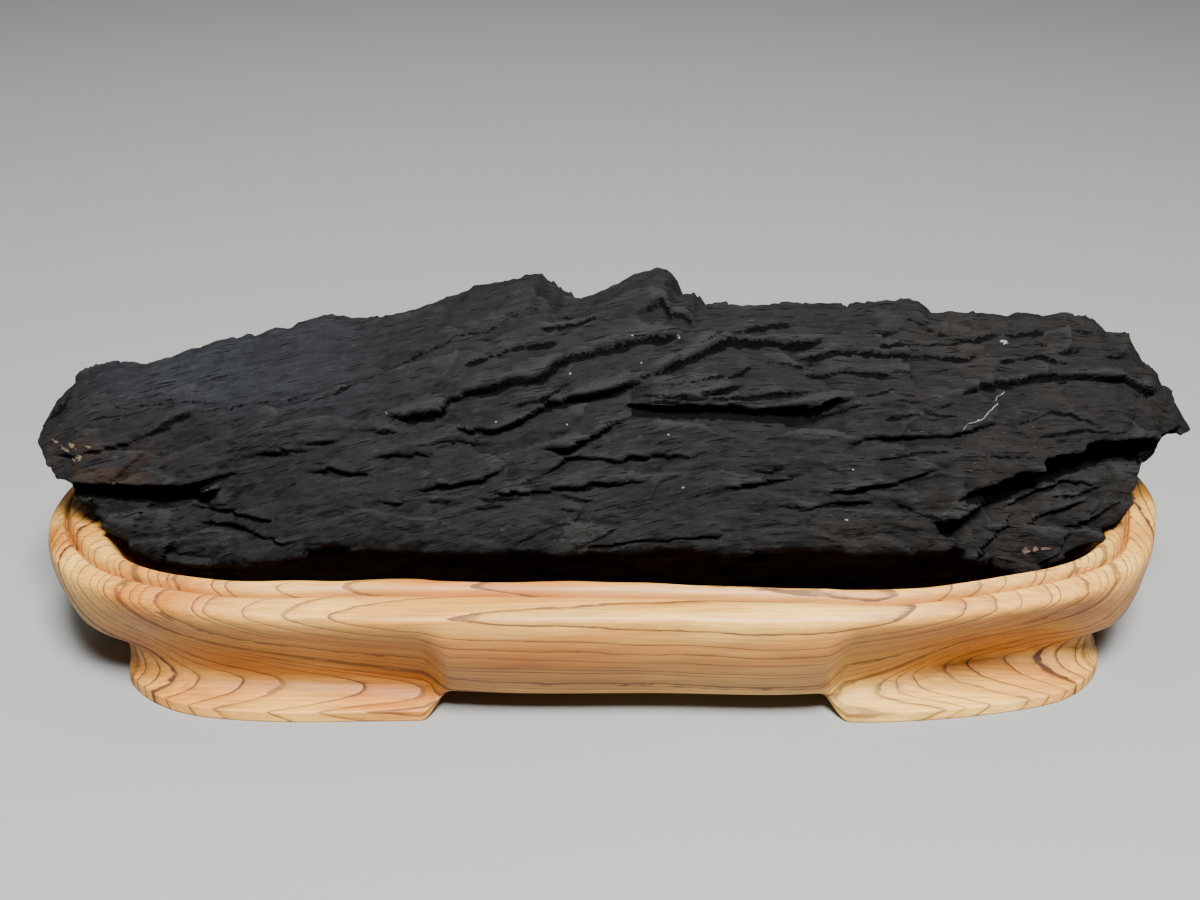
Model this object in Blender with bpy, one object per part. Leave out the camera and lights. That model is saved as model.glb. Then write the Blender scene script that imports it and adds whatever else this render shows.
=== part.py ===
"""A scholar's rock lying on its carved wooden stand.

The rock is one long slab of layered charcoal-black stone whose beds run along its length and
break off in overhanging ledges. It lies loose in the recess of a low four-footed hardwood stand.
Lengths below are millimetres along the world axes: +X runs along the rock to its pointed end,
+Y runs to the back and +Z runs up. The stand's feet are on the plane Z = 0.
"""

import math
from collections import namedtuple

import bmesh
import bpy
import numpy as np
from mathutils import Vector, noise

MM = 0.001

# Rock: the two ends, and how blunt each end is (a higher power is blunter)
ROCK_LEFT_X = -201.5
ROCK_RIGHT_X = 212.5
LEFT_BLUNTNESS = 7.0
RIGHT_BLUNTNESS = 9.0
ROCK_SEAT_Z = 30.5

# Rock: each line below is (x, value) at chosen stations along the length
TOP_Z = ((-201.5, 80), (-197, 87), (-187, 95), (-150, 105), (-100, 115), (-50, 124.5), (0, 128),
         (40, 124.5), (110, 121.5), (175, 117), (190, 107), (203, 94), (212.5, 80))
SKYLINE_Z = ((-201.5, 80), (-197, 88), (-188, 95), (-172, 101), (-164, 100), (-139, 106), (-125, 109),
             (-101, 115), (-83, 115.5), (-64, 120), (-45, 127.5), (-20, 131.5), (-16, 129),
             (-13, 124), (-6, 122.5), (3, 126), (16, 130.5), (23, 132), (27, 129.5),
             (30, 121.5), (33, 123.5), (38, 119), (64, 120), (108, 121), (114, 120.5), (119, 116.5),
             (131, 116), (172, 118), (175, 117.5), (180, 113), (188, 111), (190.5, 107),
             (193, 102), (197, 99.5), (201, 96.5), (207, 90), (212.5, 81))
UNDER_Z = ((-201.5, 74), (-195, 66.5), (-187, 62), (-178, 59.5), (-172, 53), (-165, 42), (-155, 33),
           (-140, 28), (140, 28), (156, 32), (166, 39), (173, 48), (180, 60), (187, 70.5),
           (200, 80), (212.5, 80))
LIP_Z = ((-201.5, 78), (-190, 71), (-165, 61), (-140, 58), (-104, 59), (-90, 62), (100, 62),
         (125, 61), (150, 58), (172, 62), (182, 70), (190, 79), (200, 83), (212.5, 80.5))
FRONT_Y = ((-201.5, -16), (-195, -27), (-180, -36), (-150, -43), (-100, -54), (-60, -57), (0, -58),
           (100, -57), (150, -48), (175, -40), (190, -31), (203, -19), (212.5, -7))
BACK_Y = ((-201.5, 18), (-195, 28), (-180, 35), (-150, 45), (-100, 52), (0, 55), (90, 53),
          (150, 45), (180, 34), (200, 20), (212.5, 6))
RIDGE_Y = ((-201.5, 2), (-170, 6), (-60, 10), (60, 10), (150, 6), (212.5, -2))

# Section of the rock as knots. Front knots: share of the way from lip to ridge (inward, up)
FACE_KNOTS = ((0.0, 0.0), (0.13, 0.35), (0.36, 0.74), (0.66, 0.93), (1.0, 1.0))
# Back knots: share of the way from ridge to back (outward), share of the height down to the lip
BACK_KNOTS = ((0.42, 0.14), (0.82, 0.42), (1.0, 0.76))
# Underside knots: (side, share of that side's depth from its edge, share of the lip's height)
UNDER_KNOTS = (("back", 0.03, 0.85), ("back", 0.28, 0.18), ("back", 0.80, 0.0),
               ("front", 0.48, 0.0), ("front", 0.22, 0.20), ("front", 0.07, 0.66))

# Ledges on the face: the lower lip of a broken bed as (x, z) points, left to right; how far it
# stands out; how far up the bed thins away; how tall the dark groove under it is
Ledge = namedtuple("Ledge", "lip depth rise groove")
FACE_LEDGES = (
    # Crest
    Ledge(((-16, 125), (-3, 127.5)), 2.0, 8, 1),
    Ledge(((12, 123), (21, 124.5), (38, 124)), 2.5, 7, 1),
    Ledge(((44, 121), (61, 122), (75, 122)), 1.5, 6, 1),
    # Long steps that climb from the left flank to the peak
    Ledge(((-73, 100), (-53, 102), (-51, 106), (-33, 110), (-19, 112), (-13, 116), (0, 119), (30, 121)),
          4.2, 13, 2),
    Ledge(((-50, 97), (-36, 98), (-26, 101), (-17, 106), (5, 109), (12, 111), (26, 115), (45, 119),
           (78, 118)), 4.0, 11, 2),
    Ledge(((-194, 77), (-180, 80), (-164, 84), (-146, 93), (-130, 97), (-107, 102), (-96, 105)),
          1.6, 10, 1),
    Ledge(((-124, 84), (-112, 87), (-95, 90)), 1.8, 8, 1),
    Ledge(((-104, 91), (-87, 93)), 1.8, 7, 1),
    # Right shoulder
    Ledge(((66, 115), (82, 116.5), (110, 115), (131, 113)), 2.4, 8, 1),
    Ledge(((88, 119), (108, 120)), 1.4, 5, 1),
    Ledge(((120, 118), (146, 117), (160, 117)), 1.5, 5, 1),
    Ledge(((157, 112), (170, 114)), 1.6, 5, 1),
    Ledge(((171, 111), (176, 111), (192, 104)), 1.8, 6, 1),
    Ledge(((120, 105), (129, 107), (151, 108), (175, 107), (198, 97)), 3.6, 12, 2),
    Ledge(((81, 92), (91, 95), (121, 94.5), (137, 97)), 2.6, 10, 1),
    # The broad overhang in the middle, and the beds above it and left of it
    Ledge(((12, 101), (32, 101), (66, 99), (76, 102), (88, 104)), 6.0, 9, 5),
    Ledge(((12, 106), (32, 106), (51, 110)), 2.0, 6, 1),
    Ledge(((-21, 92), (-10, 93), (-1, 97), (5, 100), (11, 101)), 3.4, 9, 2),
    Ledge(((-28, 81), (-18, 85), (-11, 90), (6, 89), (20, 90), (32, 89)), 2.6, 8, 1),
    Ledge(((-79, 88), (-62, 90), (-52, 89)), 2.4, 8, 1),
    Ledge(((-61, 92), (-52, 94), (-37, 93)), 2.2, 7, 1),
    Ledge(((-80, 96), (-65, 96)), 2.0, 7, 1),
    # Lower face
    Ledge(((-65, 77), (-56, 81), (-39, 83), (-29, 88)), 3.0, 9, 1),
    Ledge(((-39, 79), (-24, 79), (0, 82), (18, 82)), 2.8, 8, 1),
    Ledge(((-102, 82), (-92, 84), (-74, 82)), 2.2, 8, 1),
    Ledge(((-74, 75), (-64, 75)), 2.0, 6, 1),
    Ledge(((39, 80), (50, 81), (68, 83)), 2.2, 8, 1),
    Ledge(((50, 85), (63, 85)), 1.2, 5, 1),
    Ledge(((78, 78), (89, 80), (116, 85)), 2.4, 8, 1),
    Ledge(((63, 73), (75, 74), (95, 76)), 1.8, 7, 1),
    # Left end: the deep undercut and the block under it
    Ledge(((-185, 70), (-164, 70), (-151, 70), (-136, 71.5), (-129, 74)), 7.5, 16, 4),
    Ledge(((-141, 66), (-125, 66.5), (-107, 67)), 2.4, 6, 1),
    Ledge(((-142, 61), (-122, 62), (-113, 60), (-102, 60)), 2.0, 6, 1),
    # Right end: the deep undercut that climbs to the point, and the block under it
    Ledge(((112, 69), (123, 69), (130, 72), (151, 76), (154, 80), (168, 84), (176, 86), (196, 85)),
          8.5, 16, 5),
    Ledge(((131, 61), (146, 62)), 2.0, 6, 1),
    Ledge(((157, 75), (174, 73)), 2.2, 6, 1),
)
# Ledges on the back, which are longer and fewer
BACK_LEDGES = (
    Ledge(((-172, 90), (-120, 98), (-60, 108), (-8, 112)), 4.0, 13, 2),
    Ledge(((-190, 77), (-150, 81), (-104, 83)), 4.5, 12, 3),
    Ledge(((-100, 91), (-50, 93), (0, 98), (42, 96)), 4.0, 10, 2),
    Ledge(((20, 111), (70, 109), (130, 110), (176, 105)), 4.0, 10, 2),
    Ledge(((-70, 72), (-20, 75), (30, 72), (80, 76), (110, 75)), 6.5, 14, 4),
    Ledge(((62, 92), (110, 90), (150, 93), (186, 90)), 3.5, 9, 2),
    Ledge(((-142, 66), (-90, 64), (-58, 66)), 4.5, 10, 2),
    Ledge(((118, 70), (158, 76), (192, 81)), 6.0, 14, 4),
    Ledge(((-30, 118), (0, 121), (26, 119)), 3.0, 7, 1),
)
LEDGE_EDGE = 0.9
LEDGE_FADE = 9.0
LIP_SHARE = 0.6
LIP_DROOP = 0.35
GROOVE_END = 3.0

# Beds: the stone's layers climb to the right on the left flank and lie level on the right
BED_CLIMB = 0.20
BED_LEVEL_X = 40.0
BED_Y_SHARE = 0.66
BED_Z_SHARE = 0.75
BED_THICKNESS = 9.5
BED_DEPTH = 3.6
BED_SEED = 11.0

# Lumps as (length, breadth, height), and the share of them and of the beds that the face keeps
LUMPS = ((52.0, 26.0, 3.4), (21.0, 9.0, 1.5))
FACE_LUMPS = 0.42
FACE_BEDS = 0.26
ROCK_RINGS = 230
ROCK_SEGMENTS = 128
ROCK_TRIANGLES = 6000
# More segments lie on the face than on the back: how strongly, and about which turn
FACE_SHARE = 0.05
FACE_MIDDLE = 0.14
# Where each region of the section begins and ends, as turns from the lip up and over the ridge
FACE_TURNS = (-0.10, -0.03, 0.29, 0.34)
CREST_TURNS = (0.19, 0.27, 0.36, 0.50)
BACK_TURNS = (0.35, 0.40, 0.58, 0.66)
# The crest's steps run back at a slant, about this line along the ridge
CREST_SLANT = 0.5
CREST_Y = 16.0
# The relief dies away over this length at each end
END_FADE = 11.0

# Stand: one row for each station round the shoulder, from the left end along the front.
# x and y are the shoulder's edge; the rest are distances inward from it
Station = namedtuple("Station", "x y groove bead waist toe")
STATIONS = (
    Station(-201, 0, 7, 25, 27, 28), Station(-198, -22, 7, 23, 25, 26),
    Station(-190, -42, 8, 20, 20, 22), Station(-175, -59, 8, 17, 15.5, 12),
    Station(-150, -71.5, 8, 14, 14, 6.5), Station(-118, -79, 8, 15, 14.5, 7.5),
    Station(-75, -82, 12, 20, 17, 10.5), Station(-30, -82.5, 12, 18, 18, 12),
    Station(20, -82.5, 11, 17, 18, 12), Station(65, -83.5, 9.5, 14, 18, 12),
    Station(100, -81, 6, 12, 19.5, 9), Station(135, -74, 7, 12, 20.5, 6.5),
    Station(166, -63, 8, 13, 19, 5.5), Station(187, -46, 8, 15, 16.5, 10),
    Station(199, -22, 10, 18, 19, 17), Station(206, 5, 11, 22, 23, 22),
    Station(203, 32, 10, 22, 22, 20), Station(190, 55, 9, 20, 19, 12),
    Station(165, 70, 9, 19, 18, 8), Station(125, 78, 10, 19, 18, 8.5),
    Station(70, 81, 11, 19, 18, 11), Station(10, 81, 12, 19, 18, 12),
    Station(-50, 80, 12, 19, 18, 12), Station(-110, 78, 10, 19, 17, 8.5),
    Station(-152, 70, 9, 19, 16, 8), Station(-180, 52, 8, 17, 18, 13),
    Station(-196, 27, 7, 22, 24, 22),
)
# Stand: the arches between the feet, as the X range front and back and the Y range at the ends
ARCH_X = (-56.0, 81.0)
ARCH_Y = (-26.0, 24.0)
ARCH_SWEEP = 12.0
ARCH_Z = 8.4
FOOT_TOE_Z = 3.8
# The waist over the feet is higher along the front and back than at the deeply cut ends
WAIST_Z = 13.2
WAIST_DROP = 0.27
WAIST_FRONT = 20.0
SHOULDER_Z = 45.0
BEAD_Z = 52.3
RECESS_Z = 30.0
PAD_INSET = 42.0
STAND_STATIONS = 98
FOOT_END_SPARE = 18.0


def clear_scene():
    """Remove every object, so that the model starts from an empty scene."""
    for thing in list(bpy.data.objects):
        bpy.data.objects.remove(thing, do_unlink=True)


def along(x, stations):
    """Value at x on the line through (x, value) stations."""
    xs, values = zip(*stations)
    return np.interp(x, xs, values)


def smoothstep(low, high, value):
    """0 below low, 1 above high, and an S between them."""
    share = np.clip((value - low) / (high - low), 0.0, 1.0)
    return share * share * (3.0 - 2.0 * share)


def closed_spline(knots, turn):
    """Points at turn (0 to 1) on a closed Catmull-Rom curve; knots is (count, n, ...)."""
    count = len(knots)
    place = (turn % 1.0) * count
    first = np.floor(place).astype(int)
    t = place - first
    p0, p1, p2, p3 = (knots[(first + shift) % count] for shift in (-1, 0, 1, 2))
    while t.ndim < p0.ndim:
        t = t[..., None]
    return 0.5 * (2 * p1 + (p2 - p0) * t + (2 * p0 - 5 * p1 + 4 * p2 - p3) * t**2
                  + (3 * p1 - p0 - 3 * p2 + p3) * t**3)


def noise_at(points, seed):
    """Smooth noise from -1 to 1 at each point."""
    flat = points.reshape(-1, 3)
    values = [noise.noise(Vector((p[0] + seed, p[1] - seed, p[2] + 0.5 * seed))) for p in flat]
    return np.array(values).reshape(points.shape[:-1])


def wrapped_body(rings, segments, place):
    """A closed mesh: a UV sphere whose ring i and segment j move to place[i, j]."""
    mesh = bmesh.new()
    bmesh.ops.create_uvsphere(mesh, u_segments=segments, v_segments=rings, radius=1.0)
    for vertex in mesh.verts:
        polar = math.acos(max(-1.0, min(1.0, vertex.co.z)))
        ring = round(polar / math.pi * rings)
        turn = math.atan2(vertex.co.y, vertex.co.x) / (2.0 * math.pi)
        segment = round(turn * segments) % segments
        vertex.co = place[ring, segment] * MM
    if mesh.calc_volume(signed=True) < 0:
        bmesh.ops.reverse_faces(mesh, faces=mesh.faces)
    return mesh


def rock_sections(x):
    """The knots of the rock's cross-section at each x, as an array (knots, x, 2) of y and z."""
    top, lip, under = along(x, TOP_Z), along(x, LIP_Z), along(x, UNDER_Z)
    front, back, ridge = along(x, FRONT_Y), along(x, BACK_Y), along(x, RIDGE_Y)
    tall, deep, behind = top - lip, ridge - front, back - ridge
    knots = [(front + inward * deep, lip + up * tall) for inward, up in FACE_KNOTS]
    knots += [(ridge + out * behind, top - down * tall) for out, down in BACK_KNOTS]
    for side, share, up in UNDER_KNOTS:
        y = back - share * behind if side == "back" else front + share * deep
        knots.append((y, under + up * (lip - under)))
    return np.array(knots).transpose(0, 2, 1)


def rock_base(rings, segments):
    """The rock's smooth form: points (ring, segment, xyz) and each segment's turn from the lip."""
    u = np.linspace(-1.0, 1.0, rings + 1)
    reach = 0.7 * u + 0.3 * np.sin(0.5 * math.pi * u)
    middle = 0.5 * (ROCK_LEFT_X + ROCK_RIGHT_X)
    x = middle + 0.5 * (ROCK_RIGHT_X - ROCK_LEFT_X) * reach
    blunt = np.where(reach < 0, LEFT_BLUNTNESS, RIGHT_BLUNTNESS)
    size = np.clip(1.0 - np.abs(reach) ** blunt, 0.0, 1.0) ** (1.0 / blunt)
    knots = rock_sections(x)
    centre = 0.5 * (knots.max(axis=0) + knots.min(axis=0))
    knots = centre + (knots - centre) * size[None, :, None]
    around = np.arange(segments) / segments
    turn = around - FACE_SHARE * np.sin(2.0 * math.pi * (around - FACE_MIDDLE))
    points = np.empty((rings + 1, segments, 3))
    points[..., 0] = x[:, None]
    for ring in range(rings + 1):
        points[ring, :, 1:] = closed_spline(knots[:, ring], turn)
    return points, turn


def outward(points):
    """Unit normals of a wrapped lattice of points (ring, segment, xyz), facing out."""
    along_length = np.gradient(points, axis=0)
    around = np.roll(points, -1, axis=1) - np.roll(points, 1, axis=1)
    normal = np.cross(along_length, around)
    from_axis = points - points.mean(axis=1, keepdims=True)
    flip = np.sign((normal * from_axis).sum(axis=(1, 2), keepdims=True))
    length = np.linalg.norm(normal, axis=2, keepdims=True)
    return flip * normal / np.maximum(length, 1e-9)


def region(limits, value):
    """1 between the middle two limits, falling to 0 at the outer two."""
    return smoothstep(limits[0], limits[1], value) * (1.0 - smoothstep(limits[2], limits[3], value))


def ledge_relief(ledges, x, z):
    """How far these ledges push the surface out, and how far they pull it down, at x and z."""
    out, down = np.zeros_like(x), np.zeros_like(x)
    for ledge in ledges:
        start, end = ledge.lip[0][0], ledge.lip[-1][0]
        fade = min(LEDGE_FADE, 0.45 * (end - start))
        present = region((start - 3, start + fade, end - fade, end + 3), x)
        above = z - along(x, ledge.lip)
        opened = 0.5 * (1.0 + np.tanh(above / LEDGE_EDGE))
        over = np.maximum(above, 0.0)
        beneath = np.maximum(-above - ledge.groove, 0.0)
        proud = LIP_SHARE * opened * np.exp(-over / ledge.rise)
        hollow = (1.0 - LIP_SHARE) * (1.0 - opened) * np.exp(-beneath / GROOVE_END)
        out += present * ledge.depth * (proud - hollow)
        down += present * ledge.depth * LIP_DROOP * opened * np.exp(-over / GROOVE_END)
    return out, down


def bed_relief(points):
    """How far the broken edges of the beds stand out at each point, from 0 to about 1."""
    x, y, z = np.moveaxis(points, -1, 0)
    climb = BED_CLIMB * np.minimum(x, BED_LEVEL_X)
    bed = BED_Z_SHARE * z + BED_Y_SHARE * y - climb
    warp = noise_at(np.stack((x / 62.0, bed / 26.0, y / 40.0), axis=-1), BED_SEED)
    place = bed / BED_THICKNESS + 1.1 * warp
    layer = np.floor(place)
    share = place - layer
    thick = np.modf(np.abs(np.sin(layer * 12.9898 + BED_SEED)) * 437.585)[0]
    present = smoothstep(-0.25, 0.3, noise_at(
        np.stack((x / 34.0, layer * 3.7, y / 60.0), axis=-1), BED_SEED + 5.0))
    saw = np.where(share < 0.86, 1.0 - share / 0.86, (share - 0.86) / 0.14)
    return (0.3 + 0.7 * thick) * present * (saw - 0.4)


def make_rock(material):
    """The rock: its smooth form, pushed in and out by ledges, beds and lumps, then faceted."""
    points, turn = rock_base(ROCK_RINGS, ROCK_SEGMENTS)
    normal = outward(points)
    x, y, z = np.moveaxis(points, -1, 0)
    signed_turn = np.where(turn > 0.7, turn - 1.0, turn)
    face, crest, back = (region(limits, signed_turn) for limits in (FACE_TURNS, CREST_TURNS, BACK_TURNS))
    face_out, face_down = ledge_relief(FACE_LEDGES, x, z)
    back_out, back_down = ledge_relief(BACK_LEDGES, x, z)
    push = face * face_out + back * back_out
    push += (1.0 - (1.0 - FACE_BEDS) * face) * BED_DEPTH * bed_relief(points)
    for length, breadth, height in LUMPS:
        push += height * (1.0 - (1.0 - FACE_LUMPS) * face) * noise_at(
            np.stack((x / length, y / breadth, z / breadth), axis=-1), length)
    ends = region((ROCK_LEFT_X, ROCK_LEFT_X + END_FADE, ROCK_RIGHT_X - END_FADE, ROCK_RIGHT_X), x)
    points = points + normal * (push * (0.15 + 0.85 * ends))[..., None]
    crest_x = x - CREST_SLANT * (y - CREST_Y)
    points[..., 2] += crest * (along(crest_x, SKYLINE_Z) - along(crest_x, TOP_Z))
    points[..., 2] -= ends * (face * face_down + back * back_down)
    points[..., 2] = np.maximum(points[..., 2], ROCK_SEAT_Z)
    rock = add_body("rock", wrapped_body(ROCK_RINGS, ROCK_SEGMENTS, points), material)
    facets = rock.modifiers.new("facets", "DECIMATE")
    facets.ratio = ROCK_TRIANGLES / (2.0 * ROCK_SEGMENTS * (ROCK_RINGS - 1))
    return rock


def arch_share(x, y):
    """1 in the arches between the feet, 0 over the feet, at a place on the stand's outline."""
    def window(value, limits):
        rise = smoothstep(limits[0] - 0.5 * ARCH_SWEEP, limits[0] + 0.5 * ARCH_SWEEP, value)
        fall = smoothstep(limits[1] - 0.5 * ARCH_SWEEP, limits[1] + 0.5 * ARCH_SWEEP, value)
        return rise * (1.0 - fall)
    return np.maximum(window(x, ARCH_X), window(y, ARCH_Y))


def stand_outline(count):
    """Stations spaced round the stand, closer at the foot ends: columns as Station's fields."""
    table = np.array(STATIONS, dtype=float)
    fine = closed_spline(table, np.linspace(0.0, 1.0, 4001))
    arch = arch_share(fine[:, 0], fine[:, 1])
    step = np.hypot(np.diff(fine[:, 0]), np.diff(fine[:, 1]))
    measure = np.concatenate(([0.0], np.cumsum(step + FOOT_END_SPARE * np.abs(np.diff(arch)))))
    wanted = np.linspace(0.0, measure[-1], count, endpoint=False)
    return np.stack([np.interp(wanted, measure, column) for column in fine.T], axis=-1)


def stand_levels(outline):
    """The stand's profile at each station, under side first, as (inset, height) pairs of arrays."""
    x, y, groove, bead, waist, toe = outline.T
    arch = arch_share(x, y)

    def level(foot_inset, foot_z, arch_inset, arch_z):
        return (foot_inset + (arch_inset - foot_inset) * arch, foot_z + (arch_z - foot_z) * arch)

    flare = waist - toe
    waist_z = WAIST_Z - WAIST_DROP * (waist - WAIST_FRONT)
    under = ARCH_Z + 0.6
    pairs = [
        level(PAD_INSET + 3, under, PAD_INSET + 3, under),
        level(PAD_INSET, 0, PAD_INSET, under),
        level(toe, 0, waist + 3, ARCH_Z + 0.3),
        level(toe + 0.4, FOOT_TOE_Z, waist - 0.5, ARCH_Z),
        level(toe + 0.55 * flare, FOOT_TOE_Z + 1.9, waist - 3.2, ARCH_Z + 0.9),
        level(toe + 0.88 * flare, waist_z - 3.4, waist - 5.2, ARCH_Z + 2.4),
        level(waist - 0.2, waist_z, waist - 6.8, ARCH_Z + 4.6),
        level(0.66 * waist, waist_z + 3.8, waist - 8.8, waist_z + 3.8),
    ]
    bulge = ((0.34, 22.0), (0.14, 29.5), (0.03, 37.5), (0.0, SHOULDER_Z))
    pairs += [(share * waist, np.full_like(waist, height)) for share, height in bulge]
    rim = ((1.6 + 0 * groove, 48.6), (groove - 1.2, 49.3), (groove + 0.9, 51.2), (groove + 3.2, BEAD_Z),
           (bead - 1.2, BEAD_Z - 0.3), (bead + 1.2, 48.5), (bead + 6, 39.0), (bead + 15, RECESS_Z))
    pairs += [(inset, np.full_like(waist, height)) for inset, height in rim]
    return pairs


def make_stand(material):
    """The stand: rings of the carved profile, from the middle of its under side to the recess."""
    outline = stand_outline(STAND_STATIONS)
    x, y = outline[:, 0], outline[:, 1]
    tangent = np.stack((np.roll(x, -1) - np.roll(x, 1), np.roll(y, -1) - np.roll(y, 1)), axis=-1)
    tangent /= np.linalg.norm(tangent, axis=1, keepdims=True)
    levels = stand_levels(outline)
    points = np.zeros((len(levels) + 2, len(x), 3))
    for ring, (inset, height) in enumerate(levels, start=1):
        points[ring, :, 0] = x - tangent[:, 1] * inset
        points[ring, :, 1] = y + tangent[:, 0] * inset
        points[ring, :, 2] = height
    points[0, :, 2] = levels[0][1].mean()
    points[-1, :, 2] = RECESS_Z
    stand = add_body("stand", wrapped_body(len(levels) + 1, len(x), points), material)
    stand.data.shade_smooth()
    stand.data.set_sharp_from_angle(angle=math.radians(35))
    return stand


def add_body(name, mesh, material):
    """An object of this name from a bmesh, with its material."""
    data = bpy.data.meshes.new(name)
    mesh.to_mesh(data)
    mesh.free()
    body = bpy.data.objects.new(name, data)
    data.materials.append(material)
    bpy.context.scene.collection.objects.link(body)
    return body


def make_material(name, color, roughness):
    """A Principled material of one linear colour."""
    material = bpy.data.materials.new(name)
    material.use_nodes = True
    shader = material.node_tree.nodes["Principled BSDF"]
    shader.inputs["Base Color"].default_value = (*color, 1.0)
    shader.inputs["Roughness"].default_value = roughness
    shader.inputs["Metallic"].default_value = 0.0
    return material


def centre_over_origin(bodies):
    """Move all bodies together so that the middle of their joint box is over the origin."""
    bpy.context.view_layer.update()
    graph = bpy.context.evaluated_depsgraph_get()
    corners = np.concatenate([
        np.array([vertex.co[:] for vertex in body.evaluated_get(graph).data.vertices])
        for body in bodies])
    middle = 0.5 * (corners.min(axis=0) + corners.max(axis=0))
    for body in bodies:
        body.location = (-middle[0], -middle[1], -corners[:, 2].min())


def main():
    """Build the rock and its stand, and centre them over the origin."""
    clear_scene()
    rock = make_rock(make_material("charcoal_stone", (0.034, 0.034, 0.035), 0.85))
    stand = make_stand(make_material("oiled_hardwood", (0.62, 0.38, 0.20), 0.45))
    centre_over_origin([rock, stand])


main()
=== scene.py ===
"""The looks of a scholar's rock on its carved wooden stand.

The rock is a long slab of layered charcoal-black stone, broken off in overhanging ledges along its
beds. It lies in the recess of a low, four-footed stand carved from pale ring-porous hardwood.
Sizes are in millimetres in the drawing's own frame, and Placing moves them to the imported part.
"""

import logging
import math
from dataclasses import dataclass, field
from enum import Enum
from typing import Any

import bmesh
import bpy
import numpy as np
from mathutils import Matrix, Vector, noise


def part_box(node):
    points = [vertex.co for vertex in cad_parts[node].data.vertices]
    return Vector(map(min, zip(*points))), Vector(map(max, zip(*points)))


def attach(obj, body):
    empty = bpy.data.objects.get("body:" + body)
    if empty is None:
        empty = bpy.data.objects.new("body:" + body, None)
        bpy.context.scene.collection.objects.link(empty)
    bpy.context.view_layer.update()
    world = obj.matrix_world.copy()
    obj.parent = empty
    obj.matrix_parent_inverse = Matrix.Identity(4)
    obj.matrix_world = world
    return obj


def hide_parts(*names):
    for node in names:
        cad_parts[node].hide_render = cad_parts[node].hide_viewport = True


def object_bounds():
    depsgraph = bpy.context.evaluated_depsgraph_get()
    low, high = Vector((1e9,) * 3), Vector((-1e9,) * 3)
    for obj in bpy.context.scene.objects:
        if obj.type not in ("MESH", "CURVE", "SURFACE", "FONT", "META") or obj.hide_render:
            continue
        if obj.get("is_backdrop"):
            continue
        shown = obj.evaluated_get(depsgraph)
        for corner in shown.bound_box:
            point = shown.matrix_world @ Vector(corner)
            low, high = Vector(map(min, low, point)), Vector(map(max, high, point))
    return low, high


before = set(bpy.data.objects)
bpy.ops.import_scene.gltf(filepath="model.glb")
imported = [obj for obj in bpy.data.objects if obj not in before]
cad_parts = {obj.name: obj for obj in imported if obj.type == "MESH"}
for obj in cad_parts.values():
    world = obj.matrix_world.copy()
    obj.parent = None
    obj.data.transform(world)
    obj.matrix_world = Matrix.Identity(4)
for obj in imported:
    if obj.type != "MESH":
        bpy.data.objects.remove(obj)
CAD_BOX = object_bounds()

MM = 0.001
WELD = 1e-7
FAR = 20.0
LOG = logging.getLogger("scholars_rock")

Line = tuple[tuple[float, float], ...]
Fields = dict[str, np.ndarray]


@dataclass(frozen=True)
class Ledge:
    """The broken edge of a bed on the rock.

    lip is its lower edge as (x, z) points from left to right, depth how far it stands out, rise
    how far up the bed thins away, and groove how tall the dark gap under it is.
    """

    lip: Line
    depth: float
    rise: float
    groove: float


@dataclass(frozen=True)
class Station:
    """One place round the stand's shoulder: its edge, and distances inward from that edge."""

    x: float
    y: float
    groove: float
    bead: float
    waist: float
    toe: float


@dataclass(frozen=True)
class Undercut:
    """A deep gap between two beds of the rock, with the lower bed set back.

    roof and floor are the gap's edges as (x, z) points, depth how far it goes in, and setback how
    far the bed under it lies behind the bed over it.
    """

    roof: Line
    floor: Line
    depth: float
    setback: float


class Side(Enum):
    """Which side of the rock's ridge a knot of its section belongs to."""

    FRONT = "front"
    BACK = "back"


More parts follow.
